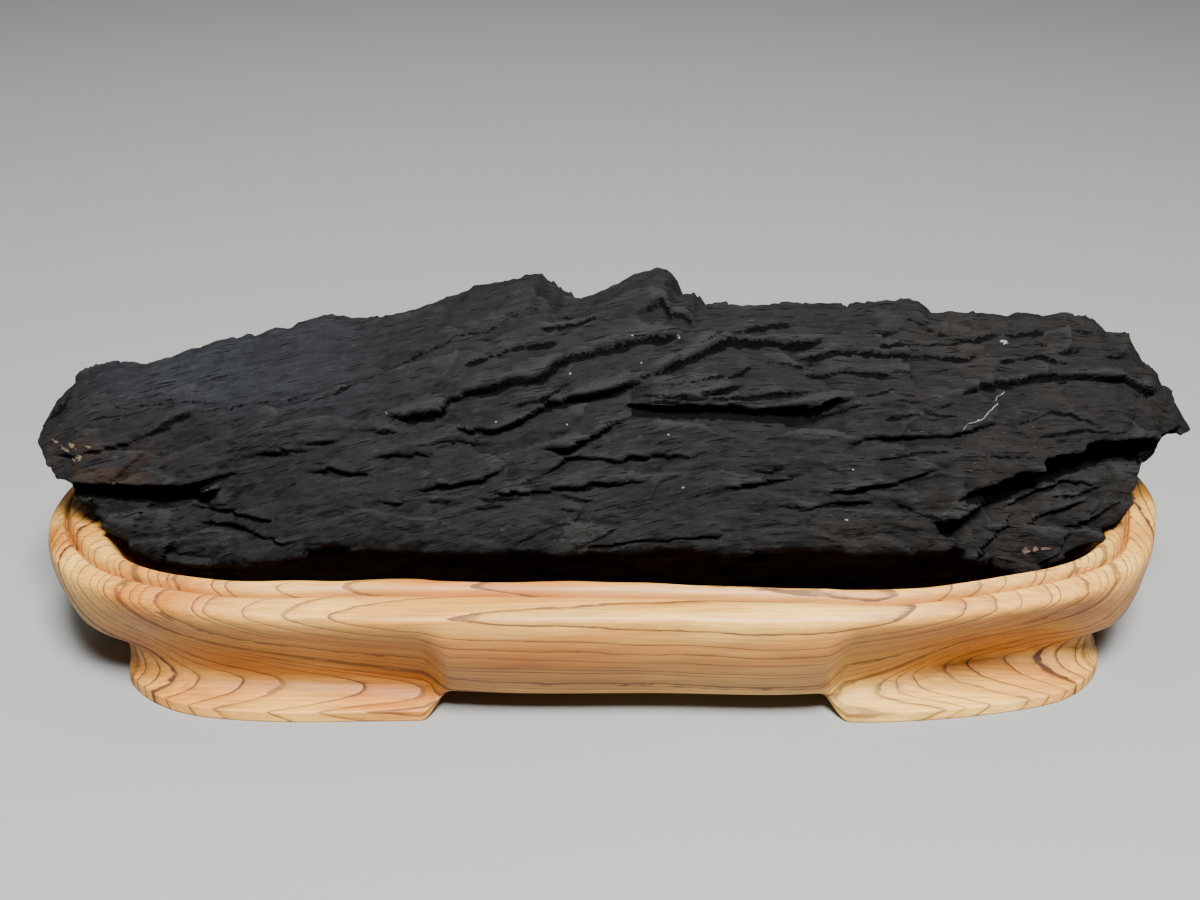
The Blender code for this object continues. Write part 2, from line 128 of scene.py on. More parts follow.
FACE_LEDGES = (
    # Crest
    Ledge(((-16, 125), (-3, 127.5)), 2.0, 8, 2),
    Ledge(((12, 123), (21, 124.5), (38, 124)), 2.5, 7, 1.6),
    Ledge(((44, 121), (61, 122), (75, 122)), 1.5, 6, 1.8),
    # Long steps that climb from the left flank to the peak
    Ledge(((-73, 100), (-53, 102), (-51, 106), (-33, 110), (-19, 112), (-13, 116), (0, 119), (30, 121)),
          4.2, 13, 2),
    Ledge(((-50, 97), (-36, 98), (-26, 101), (-17, 106), (5, 109), (12, 111), (26, 115), (45, 119),
           (78, 118)), 4.0, 11, 2),
    Ledge(((-194, 77), (-180, 80), (-164, 84), (-146, 93), (-136, 96)), 1.6, 10, 0.8),
    Ledge(((-146, 93), (-130, 97), (-107, 102), (-96, 105)), 1.3, 10, 0.4),
    Ledge(((-124, 84), (-112, 87), (-95, 90)), 1.8, 8, 1),
    Ledge(((-104, 91), (-87, 93)), 1.8, 7, 1),
    # Right shoulder
    Ledge(((66, 115), (82, 116.5), (110, 115), (131, 113)), 2.4, 8, 1.8),
    Ledge(((88, 119), (108, 120)), 1.4, 5, 1.8),
    Ledge(((120, 118), (146, 117), (160, 117)), 1.5, 5, 1.8),
    Ledge(((157, 112), (170, 114)), 1.6, 5, 1.4),
    Ledge(((171, 111), (176, 111), (192, 104)), 1.8, 6, 1.2),
    Ledge(((120, 105), (129, 107), (151, 108), (175, 107), (198, 97)), 3.4, 12, 1.8),
    Ledge(((81, 92), (91, 95), (121, 94.5), (137, 97)), 2.6, 10, 1),
    # The broad overhang in the middle, and the beds above it and left of it
    Ledge(((12, 105), (32, 104.5), (66, 103), (76, 104), (88, 106)), 5.0, 9, 1),
    Ledge(((12, 106), (32, 106), (51, 110)), 2.0, 6, 1),
    Ledge(((-21, 92), (-10, 93), (-1, 97), (5, 100), (11, 101)), 3.4, 9, 2),
    Ledge(((-28, 81), (-18, 85), (-11, 90), (6, 89), (20, 90), (32, 89)), 2.6, 8, 1),
    Ledge(((-79, 88), (-62, 90), (-52, 89)), 2.4, 8, 1),
    Ledge(((-61, 92), (-52, 94), (-37, 93)), 2.2, 7, 1),
    Ledge(((-80, 96), (-65, 96)), 2.0, 7, 1),
    # Lower face
    Ledge(((-65, 77), (-56, 81), (-39, 83), (-29, 88)), 3.0, 9, 1),
    Ledge(((-39, 79), (-24, 79), (0, 82), (18, 82)), 2.8, 8, 1),
    Ledge(((-102, 82), (-92, 84), (-74, 82)), 2.2, 8, 1),
    Ledge(((-74, 75), (-64, 75)), 2.0, 6, 1),
    Ledge(((39, 80), (50, 81), (68, 83)), 2.2, 8, 1),
    Ledge(((50, 85), (63, 85)), 1.2, 5, 1),
    Ledge(((78, 78), (89, 80), (116, 85)), 2.4, 8, 1),
    Ledge(((63, 73), (75, 74), (95, 76)), 1.8, 7, 1),
    # Left end: the deep undercut and the block under it
    Ledge(((-185, 70), (-164, 70), (-151, 70), (-136, 71.5), (-129, 74)), 7.5, 16, 4),
    Ledge(((-141, 66), (-125, 66.5), (-107, 67)), 2.4, 6, 1),
    Ledge(((-142, 61), (-122, 62), (-113, 60), (-102, 60)), 2.0, 6, 1),
    # Right end: the deep undercut that climbs to the point, and the block under it
    Ledge(((112, 69), (123, 69), (130, 72), (151, 76), (154, 80), (168, 84), (176, 86), (196, 85)),
          8.5, 16, 5),
    Ledge(((131, 61), (146, 62)), 2.0, 6, 1),
    Ledge(((138, 68), (150, 71), (163, 75)), 2.4, 6, 1.8),
    Ledge(((146, 62), (158, 65), (172, 70)), 2.6, 6, 1.6),
    Ledge(((158, 58), (170, 61), (181, 66)), 2.2, 5, 1.3),
    Ledge(((157, 75), (174, 73)), 2.2, 6, 1),
)
# Short open cracks and small steps between the ledges
FINE_LEDGES = (
    Ledge(((-197, 84), (-189, 91)), 1.4, 4, 0.8),
    Ledge(((-171, 92), (-145, 96), (-131, 98)), 0.8, 5, 0.3),
    Ledge(((-99, 102), (-87, 106), (-74, 111), (-58, 116), (-49, 119), (-35, 121), (-21, 125)),
          1.3, 6, 0.4),
    Ledge(((34, 118), (42, 120)), 1.2, 4, 0.7),
    Ledge(((-46, 113), (-30, 117), (-14, 119)), 1.2, 4, 1.0),
    Ledge(((-20, 121), (-8, 123), (2, 124)), 1.2, 4, 1.4),
    Ledge(((-30, 104), (-18, 107), (-8, 112)), 1.0, 4, 0.8),
    Ledge(((70, 111), (84, 112), (98, 111)), 1.2, 4, 1.1),
    Ledge(((96, 117), (112, 116.5), (126, 117)), 1.2, 4, 1.4),
    Ledge(((136, 111), (150, 112), (162, 110)), 1.1, 4, 0.9),
    Ledge(((96, 100), (110, 101), (120, 99.5)), 1.0, 4, 0.8),
    Ledge(((150, 91), (166, 92), (180, 90)), 0.9, 4, 0.7),
    Ledge(((92, 88), (106, 90), (118, 89)), 0.9, 4, 0.6),
    Ledge(((12, 107.5), (28, 106.8), (44, 107.5)), 1.2, 3, 0.8),
    Ledge(((14, 109.5), (30, 109.6), (42, 111), (52, 113)), 1.2, 3, 0.8),
    Ledge(((30, 106), (48, 105.8), (64, 107)), 0.9, 3, 0.6),
    Ledge(((24, 90), (32, 89)), 1.0, 3, 0.7),
    Ledge(((38, 78), (46, 80.5), (58, 82)), 0.9, 3, 0.6),
    Ledge(((30, 77), (39, 79)), 0.9, 3, 0.6),
    Ledge(((-14, 78), (-2, 77)), 0.9, 3, 0.6),
    Ledge(((-59, 76), (-50, 76)), 1.0, 3, 0.7),
    Ledge(((-41, 77.5), (-29, 77)), 1.0, 3, 0.7),
    Ledge(((-43, 74), (-32, 75)), 0.9, 3, 0.6),
    Ledge(((-14, 74), (-7, 74)), 0.9, 3, 0.7),
    Ledge(((-4, 62), (8, 63), (18, 64)), 1.6, 4, 0.9),
    Ledge(((18, 63), (41, 65)), 0.9, 4, 0.7),
    Ledge(((57, 114), (70, 113)), 1.3, 4, 0.8),
    Ledge(((56, 106), (70, 107)), 1.1, 4, 0.7),
    Ledge(((60, 74), (71, 74)), 0.9, 3, 0.6),
    Ledge(((105, 121), (124, 119)), 1.0, 3, 0.7),
    Ledge(((157, 117), (172, 116)), 1.0, 3, 0.7),
    Ledge(((145, 115), (156, 114)), 0.9, 3, 0.6),
    Ledge(((111, 112), (121, 112)), 0.8, 3, 0.6),
    Ledge(((89, 106), (101, 108)), 0.8, 3, 0.6),
    Ledge(((62, 98), (74, 101), (89, 104)), 1.4, 4, 0.9),
    Ledge(((114, 102), (120, 103)), 0.9, 3, 0.6),
    Ledge(((129, 87), (143, 85)), 0.7, 3, 0.5),
    Ledge(((77, 78), (86, 80), (101, 82)), 1.2, 3, 0.8),
    Ledge(((99, 76), (109, 71), (117, 69), (123, 69)), 1.1, 4, 0.8),
    Ledge(((156, 70), (165, 70), (174, 72)), 1.2, 3, 0.8),
    Ledge(((127, 54), (133, 57), (138, 61), (143, 66)), 1.6, 4, 1.0),
    Ledge(((141, 95), (154, 98), (160, 97), (171, 93)), 0.5, 4, 0.6),
)
# Deep gaps under the slab at its two ends
UNDERCUTS = (
    Undercut(((-190, 71), (-165, 71.5), (-154, 72), (-143, 73), (-134, 75.5), (-127, 78)),
             ((-190, 68), (-178, 67), (-164, 66.5), (-151, 67), (-142, 69), (-134, 74), (-127, 78)),
             11.0, 1.5),
    Undercut(((120, 74.5), (125, 76), (139, 78.5), (141, 80), (150, 79.5), (151.5, 83.5), (158, 84.5),
              (165, 85), (166, 87.5), (171, 88), (183, 87), (202, 85)),
             ((120, 74), (125, 73), (133, 73), (146, 73.5), (152, 77), (165, 78), (172, 80), (184, 82),
              (202, 79.5)),
             13.0, 2.5),
    # Under the broad middle slab, square at its left end
    Undercut(((9, 104.5), (32, 104), (60, 102.5), (72, 103), (80, 105)),
             ((9, 101.8), (32, 101), (50, 100), (66, 99.5), (74, 101.5), (80, 105)), 7.0, 1.0),
)
# Ledges on the back, which are longer and fewer
BACK_LEDGES = (
    Ledge(((-172, 90), (-120, 98), (-60, 108), (-8, 112)), 4.0, 13, 2),
    Ledge(((-190, 77), (-150, 81), (-104, 83)), 4.5, 12, 3),
    Ledge(((-100, 91), (-50, 93), (0, 98), (42, 96)), 4.0, 10, 2),
    Ledge(((20, 111), (70, 109), (130, 110), (176, 105)), 4.0, 10, 2),
    Ledge(((-70, 72), (-20, 75), (30, 72), (80, 76), (110, 75)), 6.5, 14, 4),
    Ledge(((62, 92), (110, 90), (150, 93), (186, 90)), 3.5, 9, 2),
    Ledge(((-142, 66), (-90, 64), (-58, 66)), 4.5, 10, 2),
    Ledge(((118, 70), (158, 76), (192, 81)), 6.0, 14, 4),
    Ledge(((-30, 118), (0, 121), (26, 119)), 3.0, 7, 1),
)
# Short cross breaks, where a bed snapped off: (z, x) down the break, and the step across it
CROSS_BREAKS = (
    (((71, -129), (76, -131), (84, -132)), 1.4),
    (((102, 11.5), (110, 10)), 2.6),
    (((66, 123.5), (79, 122)), 2.2),
)

STATIONS = (
    Station(-201, 0, 7, 25, 27, 28), Station(-198, -22, 7, 23, 25, 26),
    Station(-190, -42, 8, 20, 21.5, 22.5), Station(-175, -59, 8, 17, 18.5, 13.5),
    Station(-150, -71.5, 8, 14, 17, 6.5), Station(-118, -79, 8, 15, 20.5, 7.5),
    Station(-75, -82, 12, 20, 21, 10.5), Station(-30, -82.5, 12, 18, 18, 12),
    Station(20, -82.5, 11, 17, 18, 12), Station(65, -83.5, 9.5, 14, 18, 12),
    Station(100, -81, 6, 12, 20.5, 9), Station(135, -74, 7, 12, 27, 6.5),
    Station(166, -63, 8, 13, 22.5, 5.5), Station(187, -46, 8, 15, 16.5, 10),
    Station(199, -22, 10, 18, 19, 17), Station(206, 5, 11, 22, 23, 22),
    Station(203, 32, 10, 22, 22, 20), Station(190, 55, 9, 20, 19, 12),
    Station(165, 70, 9, 19, 18, 8), Station(125, 78, 10, 19, 18, 8.5),
    Station(70, 81, 11, 19, 18, 11), Station(10, 81, 12, 19, 18, 12),
    Station(-50, 80, 12, 19, 18, 12), Station(-110, 78, 10, 19, 17, 8.5),
    Station(-152, 70, 9, 19, 16, 8), Station(-180, 52, 8, 17, 18, 13),
    Station(-196, 27, 7, 22, 24, 22),
)


def linear(code: str) -> tuple[float, float, float, float]:
    """Turn an sRGB hex colour into linear red, green, blue and alpha.

    Args:
        code: the colour as "#rrggbb".

    Returns:
        Four linear channels with an alpha of 1.
    """
    shares = [int(code[i:i + 2], 16) / 255 for i in (1, 3, 5)]
    channels = [s / 12.92 if s <= 0.04045 else ((s + 0.055) / 1.055) ** 2.4 for s in shares]
    return channels[0], channels[1], channels[2], 1.0


def along(x: np.ndarray | float, stations: Line) -> np.ndarray:
    """Read the value at x on the line through (x, value) stations."""
    xs, values = zip(*stations)
    return np.interp(x, xs, values)


def smoothstep(low: float, high: float, value: np.ndarray) -> np.ndarray:
    """Rise from 0 at low to 1 at high along an S."""
    share = np.clip((value - low) / (high - low), 0.0, 1.0)
    return share * share * (3.0 - 2.0 * share)


def region(limits: tuple[float, float, float, float], value: np.ndarray) -> np.ndarray:
    """Give 1 between the middle two limits, falling to 0 at the outer two."""
    return smoothstep(limits[0], limits[1], value) * (1.0 - smoothstep(limits[2], limits[3], value))


def catmull(p0: np.ndarray, p1: np.ndarray, p2: np.ndarray, p3: np.ndarray, t: np.ndarray) -> np.ndarray:
    """Give the point at share t from p1 to p2 on a Catmull-Rom curve."""
    return 0.5 * (2 * p1 + (p2 - p0) * t + (2 * p0 - 5 * p1 + 4 * p2 - p3) * t**2
                  + (3 * p1 - p0 - 3 * p2 + p3) * t**3)


def closed_spline(knots: np.ndarray, turn: np.ndarray) -> np.ndarray:
    """Read points on a closed curve through knots.

    Args:
        knots: the knots, first axis first.
        turn: where to read, from 0 to 1 round the curve.

    Returns:
        One point for each turn.
    """
    count = len(knots)
    place = (turn % 1.0) * count
    first = np.floor(place).astype(int)
    share = (place - first).reshape(-1, *[1] * (knots.ndim - 1))
    return catmull(*(knots[(first + shift) % count] for shift in (-1, 0, 1, 2)), share)


def noise_field(x: np.ndarray, y: np.ndarray, z: np.ndarray, seed: float) -> np.ndarray:
    """Sample smooth noise at many places.

    Args:
        x: first coordinates, in noise cells.
        y: second coordinates, in noise cells.
        z: third coordinates, in noise cells.
        seed: shifts the pattern, so that fields differ.

    Returns:
        Values from about -1 to 1, in the shape of x.
    """
    x, y, z = np.broadcast_arrays(x, y, z)
    places = zip(*((part + shift).ravel().tolist() for part, shift in
                   ((x, seed), (y, -seed), (z, 0.5 * seed))))
    return np.array([noise.noise(Vector(place)) for place in places]).reshape(x.shape)


def blurred(values: np.ndarray, passes: int) -> np.ndarray:
    """Smooth a lattice that closes on itself along its second axis.

    Args:
        values: one value for each ring and segment.
        passes: how many times to average each value with its neighbours.

    Returns:
        The smoothed lattice.
    """
    for _ in range(passes):
        padded = np.concatenate((values[:1], values, values[-1:]))
        values = 0.25 * padded[:-2] + 0.5 * values + 0.25 * padded[2:]
        values = 0.25 * np.roll(values, 1, axis=1) + 0.5 * values + 0.25 * np.roll(values, -1, axis=1)
    return values


def outward(points: np.ndarray) -> np.ndarray:
    """Work out unit normals that face out of a wrapped lattice of points."""
    lengthwise = np.gradient(points, axis=0)
    around = np.roll(points, -1, axis=1) - np.roll(points, 1, axis=1)
    normal = np.cross(lengthwise, around)
    from_axis = points - points.mean(axis=1, keepdims=True)
    flip = np.sign((normal * from_axis).sum(axis=(1, 2), keepdims=True))
    return flip * normal / np.maximum(np.linalg.norm(normal, axis=2, keepdims=True), 1e-9)


def wrapped_mesh(name: str, place: np.ndarray, fields: Fields) -> bpy.types.Object:
    """Make a closed mesh by rolling up a grid whose vertices lie at their places in a lattice.

    Args:
        name: the object's name.
        place: points by ring, from pole to pole, and segment, in metres.
        fields: values by ring and segment that the mesh keeps as attributes.

    Returns:
        The new object, linked to the scene.
    """
    rings, segments = place.shape[0] - 1, place.shape[1]
    sheet = bmesh.new()
    bmesh.ops.create_grid(sheet, x_segments=segments, y_segments=rings, size=1.0)
    mesh = bpy.data.meshes.new(name)
    sheet.to_mesh(mesh)
    sheet.free()
    place = place.copy()
    place[[0, -1]] = place[[0, -1]].mean(axis=1, keepdims=True)
    ring, column = np.divmod(np.arange(len(mesh.vertices)), segments + 1)
    segment = column % segments
    mesh.vertices.foreach_set("co", place[ring, segment].ravel())
    for key, values in fields.items():
        layer = mesh.attributes.new(key, "FLOAT", "POINT")
        layer.data.foreach_set("value", values[ring, segment])
    roll = bmesh.new()
    roll.from_mesh(mesh)
    rim = [vertex for vertex in roll.verts if vertex.is_boundary]
    bmesh.ops.remove_doubles(roll, verts=rim, dist=WELD)
    if roll.calc_volume(signed=True) < 0:
        bmesh.ops.reverse_faces(roll, faces=roll.faces)
    roll.to_mesh(mesh)
    roll.free()
    made = bpy.data.objects.new(name, mesh)
    bpy.context.scene.collection.objects.link(made)
    mesh.shade_smooth()
    return made


@dataclass
class Recipe:
    """A material while its nodes are put together."""

    name: str
    material: bpy.types.Material = field(init=False)
    tree: bpy.types.NodeTree = field(init=False)
    shader: bpy.types.Node = field(init=False)

    def __post_init__(self) -> None:
        """Start the material from a Principled shader."""
        self.material = bpy.data.materials.new(self.name)
        self.material.use_nodes = True
        self.tree = self.material.node_tree
        self.shader = self.tree.nodes["Principled BSDF"]

    def add(self, kind: str, links: dict[Any, Any] | None = None, **settings: Any) -> bpy.types.Node:
        """Add a node with its settings and links.

        Args:
            kind: the node's type, without its ShaderNode prefix.
            links: a value, node or socket for each input, by name or number.
            settings: the node's own properties.

        Returns:
            The new node.
        """
        made = self.tree.nodes.new("ShaderNode" + kind)
        for key, value in settings.items():
            setattr(made, key, value)
        self.fill(made, links or {})
        return made

    def fill(self, made: bpy.types.Node, links: dict[Any, Any]) -> None:
        """Set or link inputs of a node.

        Args:
            made: the node.
            links: a value, node or socket for each input, by name or number.
        """
        for key, value in links.items():
            source = value.outputs[0] if isinstance(value, bpy.types.Node) else value
            if isinstance(source, bpy.types.NodeSocket):
                self.tree.links.new(source, made.inputs[key])
            else:
                made.inputs[key].default_value = source


@dataclass(frozen=True)
class LayeredStone:
    """Natural charcoal-black layered stone, broken along its beds and left as found.

    The broken surface is matt and almost black, with fine streaks along the beds and a few rust, cream
    and white mineral spots. Its grooves, gaps, hollows and underside are blackened with painted shade,
    its proud broken edges are paler, partly worn stone and partly painted highlight, and its upper left
    is painted paler and bluer as a sheen of the sky.
    """

    charcoal: str = "#1b1b1c"
    warm_charcoal: str = "#1d1a17"
    # Paler bluish charcoal for the painted sky sheen on the upper left
    sky_sheen_charcoal: str = "#24262a"
    # Near black for the dark dashes, and for the painted shade in grooves, gaps, hollows and underside
    groove: str = "#030303"
    # Paler grey for the proud broken edges: partly worn stone, partly painted highlight
    edge: str = "#303030"
    rust: str = "#32231a"
    fleck: str = "#404244"
    speck: str = "#a8a69f"
    roughness: float = 0.86
    streak_mm: float = 1.7
    streak_length_mm: float = 12.0
    grain_mm: float = 0.7
    # Mineral spots on the face as (colour, (x, z, half length, half height)) in groups
    spots: tuple[tuple[str, float, tuple[tuple[float, float, float, float], ...]], ...] = (
        ("#8a8882", 0.75, (
            (-10, 114, 0.3, 0.2), (-11, 100, 0.25, 0.2), (23, 97, 0.4, 0.3), (9, 83, 0.3, 0.2),
            (28, 80, 0.5, 0.3), (11, 123, 0.3, 0.2), (14, 116, 0.2, 0.15), (27, 121, 0.4, 0.15),
            (140, 117, 1.3, 0.2), (85, 86, 0.25, 0.2), (83, 70, 0.5, 0.25), (-135, 74, 0.5, 0.4),
            (-72, 102, 0.4, 0.3), (-35, 100, 0.3, 0.2))),
        ("#857357", 0.6, (
            (-192, 82, 1.2, 0.5), (-184, 83.5, 1.6, 0.6), (-187, 81.5, 1.8, 0.5), (-181, 81, 1.2, 0.7),
            (-177, 85, 0.9, 0.4), (-183, 79.5, 1.0, 0.4))),
        ("#7c6359", 0.7, ((147, 53.0, 1.3, 0.9), (150.5, 53.6, 1.3, 0.8), (154, 53.2, 1.6, 0.45))),
        ("#353633", 0.4, ((-7, 67, 5.5, 5.0), (-11, 62, 3.5, 6.0), (-3, 60, 5.0, 3.0))),
    )
    # The thin pale vein on the right as (x, z) points
    vein: Line = ((120.5, 93.5), (124, 98), (129, 99), (133, 101.5), (138.5, 104.5))

    def material(self) -> bpy.types.Material:
        """Build the stone's node material."""
        recipe = Recipe("layered_charcoal_stone")
        add = recipe.add
        object_mm = add("VectorMath", {0: add("TexCoord").outputs["Object"], "Scale": 1000.0},
                        operation="SCALE")
        place = add("SeparateXYZ", {0: object_mm})
        bed, cavity, gap, rust, sky_sheen, warm = (
            add("Attribute", attribute_name=key).outputs["Fac"]
            for key in ("bed", "cavity", "gap", "rust", "sky_sheen", "warm"))

        def cells(length: float, height: float) -> bpy.types.Node:
            """Measure places in cells of this length along the beds and this height across them."""
            return add("CombineXYZ", {
                0: add("Math", {0: place.outputs[0], 1: length}, operation="DIVIDE"),
                1: add("Math", {0: bed, 1: height}, operation="DIVIDE"),
                2: add("Math", {0: place.outputs[1], 1: length}, operation="DIVIDE")})

        def layered(length: float, height: float, **settings: float) -> bpy.types.Node:
            """Add noise drawn out along the beds, in cells of this length and height."""
            return add("TexNoise", {"Vector": cells(length, height), "Scale": 1.0, **settings})

        def chipped(length: float, height: float) -> bpy.types.Node:
            """Add a height made of small planes, each tilted its own way, in cells of this size."""
            spot = cells(length, height)
            plane = add("TexVoronoi", {"Vector": spot, "Scale": 1.0})
            from_middle = add("VectorMath", {0: spot, 1: plane.outputs["Position"]}, operation="SUBTRACT")
            tilt = add("VectorMath", {0: plane.outputs["Color"], 1: (0.5, 0.5, 0.5)},
                       operation="SUBTRACT")
            return add("VectorMath", {0: from_middle, 1: tilt}, operation="DOT_PRODUCT")

        streaks = layered(self.streak_length_mm, self.streak_mm, Detail=5.0, Roughness=0.62)
        mottle = add("TexNoise", {"Vector": object_mm, "Scale": 1 / 22.0, "Detail": 5.0,
                                  "Roughness": 0.6})
        grain = add("TexNoise", {"Vector": object_mm, "Scale": 1 / self.grain_mm, "Detail": 4.0,
                                 "Roughness": 0.7})
        ragged = add("TexNoise", {"Vector": object_mm, "Scale": 0.55, "Detail": 4.0, "Roughness": 0.6})
        warmth = add("Math", {0: warm, 1: mottle.outputs[0]}, operation="MULTIPLY")
        body = add("Mix", {"Factor": add("MapRange", {0: warmth, 1: 0.15, 2: 0.75}),
                           6: linear(self.charcoal), 7: linear(self.warm_charcoal)}, data_type="RGBA")
        # Painted sky sheen: the upper left of the face is painted paler and bluer
        body = add("Mix", {"Factor": sky_sheen, 6: body.outputs[2], 7: linear(self.sky_sheen_charcoal)},
                   data_type="RGBA")
        body = add("Mix", {"Factor": rust, 6: body.outputs[2], 7: linear(self.rust)}, data_type="RGBA")
        tone = add("Math", {0: add("MapRange", {0: streaks.outputs[0], 1: 0.25, 2: 0.75, 3: 0.6, 4: 1.45}),
                            1: add("MapRange", {0: mottle.outputs[0], 1: 0.3, 2: 0.7, 3: 0.8, 4: 1.2})},
                   operation="MULTIPLY")
        body = add("VectorMath", {0: body.outputs[2], "Scale": tone}, operation="SCALE")
        # Proud places painted paler: partly worn stone, partly painted highlight
        edges = add("MapRange", {0: cavity, 1: -0.25, 2: -0.95, 3: 0.0, 4: 0.45})
        body = add("Mix", {"Factor": edges, 6: body, 7: linear(self.edge)}, data_type="RGBA")
        flecks = layered(3.2, 0.8, Detail=1.0, Roughness=0.5)
        sparse = add("Math", {0: flecks.outputs[0], 1: add("MapRange", {0: mottle.outputs[0], 1: 0.35,
                                                                        2: 0.65, 3: -0.06, 4: 0.03})},
                     operation="ADD")
        body = add("Mix", {"Factor": add("MapRange", {0: sparse, 1: 0.72, 2: 0.80, 3: 0.0, 4: 0.5}),
                           6: body.outputs[2], 7: linear(self.fleck)}, data_type="RGBA")
        front = add("Math", {0: place.outputs[1], 1: 15.0}, operation="LESS_THAN")
        wobble = add("TexNoise", {"Vector": object_mm, "Scale": 0.9, "Detail": 2.0})
        for colour, strength, group in self.spots:
            near = None
            for x, z, half_length, half_height in group:
                offset = add("VectorMath", {0: object_mm, 1: (x + PLACING.x, 0.0, z)},
                             operation="SUBTRACT")
                scaled = add("VectorMath", {0: offset, 1: (1 / half_length, 0.0, 1 / half_height)},
                             operation="MULTIPLY")
                reach = add("VectorMath", {0: scaled}, operation="LENGTH").outputs["Value"]
                near = reach if near is None else add("Math", {0: near, 1: reach}, operation="MINIMUM")
            uneven = add("MapRange", {0: wobble.outputs[0], 1: 0.3, 2: 0.7, 3: 0.45, 4: 1.55})
            shown = add("MapRange", {0: add("Math", {0: near, 1: uneven}, operation="SUBTRACT"),
                                     1: -0.25, 2: 0.15, 3: strength, 4: 0.0})
            shown = add("Math", {0: shown, 1: front}, operation="MULTIPLY")
            body = add("Mix", {"Factor": shown, 6: body.outputs[2], 7: linear(colour)}, data_type="RGBA")
        bend = add("TexNoise", {"Vector": object_mm, "Scale": 0.35, "Detail": 3.0})
        strand = None
        for (x0, z0), (x1, z1) in zip(self.vein, self.vein[1:]):
            run = add("MapRange", {0: place.outputs[0], 1: x0 + PLACING.x, 2: x1 + PLACING.x, 3: z0,
                                   4: z1})
            offset = add("MapRange", {0: bend.outputs[0], 1: 0.25, 2: 0.75, 3: -0.25, 4: 0.25})
            line = add("Math", {0: run, 1: offset}, operation="ADD")
            across = add("Math", {0: place.outputs[2], 1: line, 2: 0.14}, operation="COMPARE")
            inside = add("Math", {0: place.outputs[0], 1: 0.5 * (x0 + x1) + PLACING.x,
                                  2: 0.5 * (x1 - x0)}, operation="COMPARE")
            part = add("Math", {0: across, 1: inside}, operation="MULTIPLY")
            strand = part if strand is None else add("Math", {0: strand, 1: part}, operation="MAXIMUM")
        strand = add("Math", {0: add("Math", {0: strand, 1: front}, operation="MULTIPLY"), 1: 0.42},
                     operation="MULTIPLY")
        body = add("Mix", {"Factor": strand, 6: body.outputs[2], 7: linear(self.speck)},
                   data_type="RGBA")
        dashes = layered(8.0, 0.8, Detail=2.0, Roughness=0.5)
        some = add("MapRange", {0: mottle.outputs[0], 1: 0.3, 2: 0.7, 3: 0.06, 4: -0.04})
        dashes = add("MapRange", {0: add("Math", {0: dashes.outputs[0], 1: some}, operation="ADD"),
                                  1: 0.37, 2: 0.31, 3: 0.0, 4: 1.0})
        # Painted shade: the gaps under the ledges, the deep undercuts and the underside are painted black, with
        # ragged edges
        opened = add("Math", {0: gap, 1: add("MapRange", {0: ragged.outputs[0], 1: 0.25, 2: 0.75, 3: -0.3,
                                                          4: 0.55})}, operation="ADD")
        gaps = add("MapRange", {0: opened, 1: -0.1, 2: 0.2})
        # Painted shade in the hollows, darker the deeper they lie below their surroundings
        hollow_shade = add("MapRange", {0: cavity, 1: 0.2, 2: 1.0, 3: 0.0, 4: 0.55})
        dark = add("Math", {0: gaps, 1: add("Math", {0: dashes, 1: 0.8}, operation="MULTIPLY")},
                   operation="MAXIMUM")
        dark = add("Math", {0: dark, 1: hollow_shade}, operation="MAXIMUM")
        body = add("Mix", {"Factor": dark, 6: body.outputs[2], 7: linear(self.groove)}, data_type="RGBA")
        fine = add("Math", {0: add("Math", {0: streaks.outputs[0], 1: 0.8}, operation="MULTIPLY"),
                            1: add("Math", {0: grain.outputs[0], 1: 0.4}, operation="MULTIPLY")},
                   operation="ADD")
        chips = add("Math", {0: chipped(7.0, 2.4).outputs["Value"],
                             1: add("Math", {0: chipped(3.1, 1.1).outputs["Value"], 1: 0.5},
                                    operation="MULTIPLY")}, operation="ADD")
        fine = add("Math", {0: fine, 1: add("Math", {0: chips, 1: 1.5}, operation="MULTIPLY")},
                   operation="ADD")
        fine = add("Math", {0: fine, 1: dark}, operation="SUBTRACT")
        relief = add("Bump", {"Height": fine, "Strength": 0.85, "Distance": 0.001})
        rough = add("MapRange", {0: streaks.outputs[0], 1: 0.3, 2: 0.7, 3: self.roughness - 0.1,
                                 4: self.roughness + 0.08})
        recipe.fill(recipe.shader, {"Base Color": body.outputs[2], "Roughness": rough,
                                    "Normal": relief, "Specular IOR Level": 0.08})
        return recipe.material


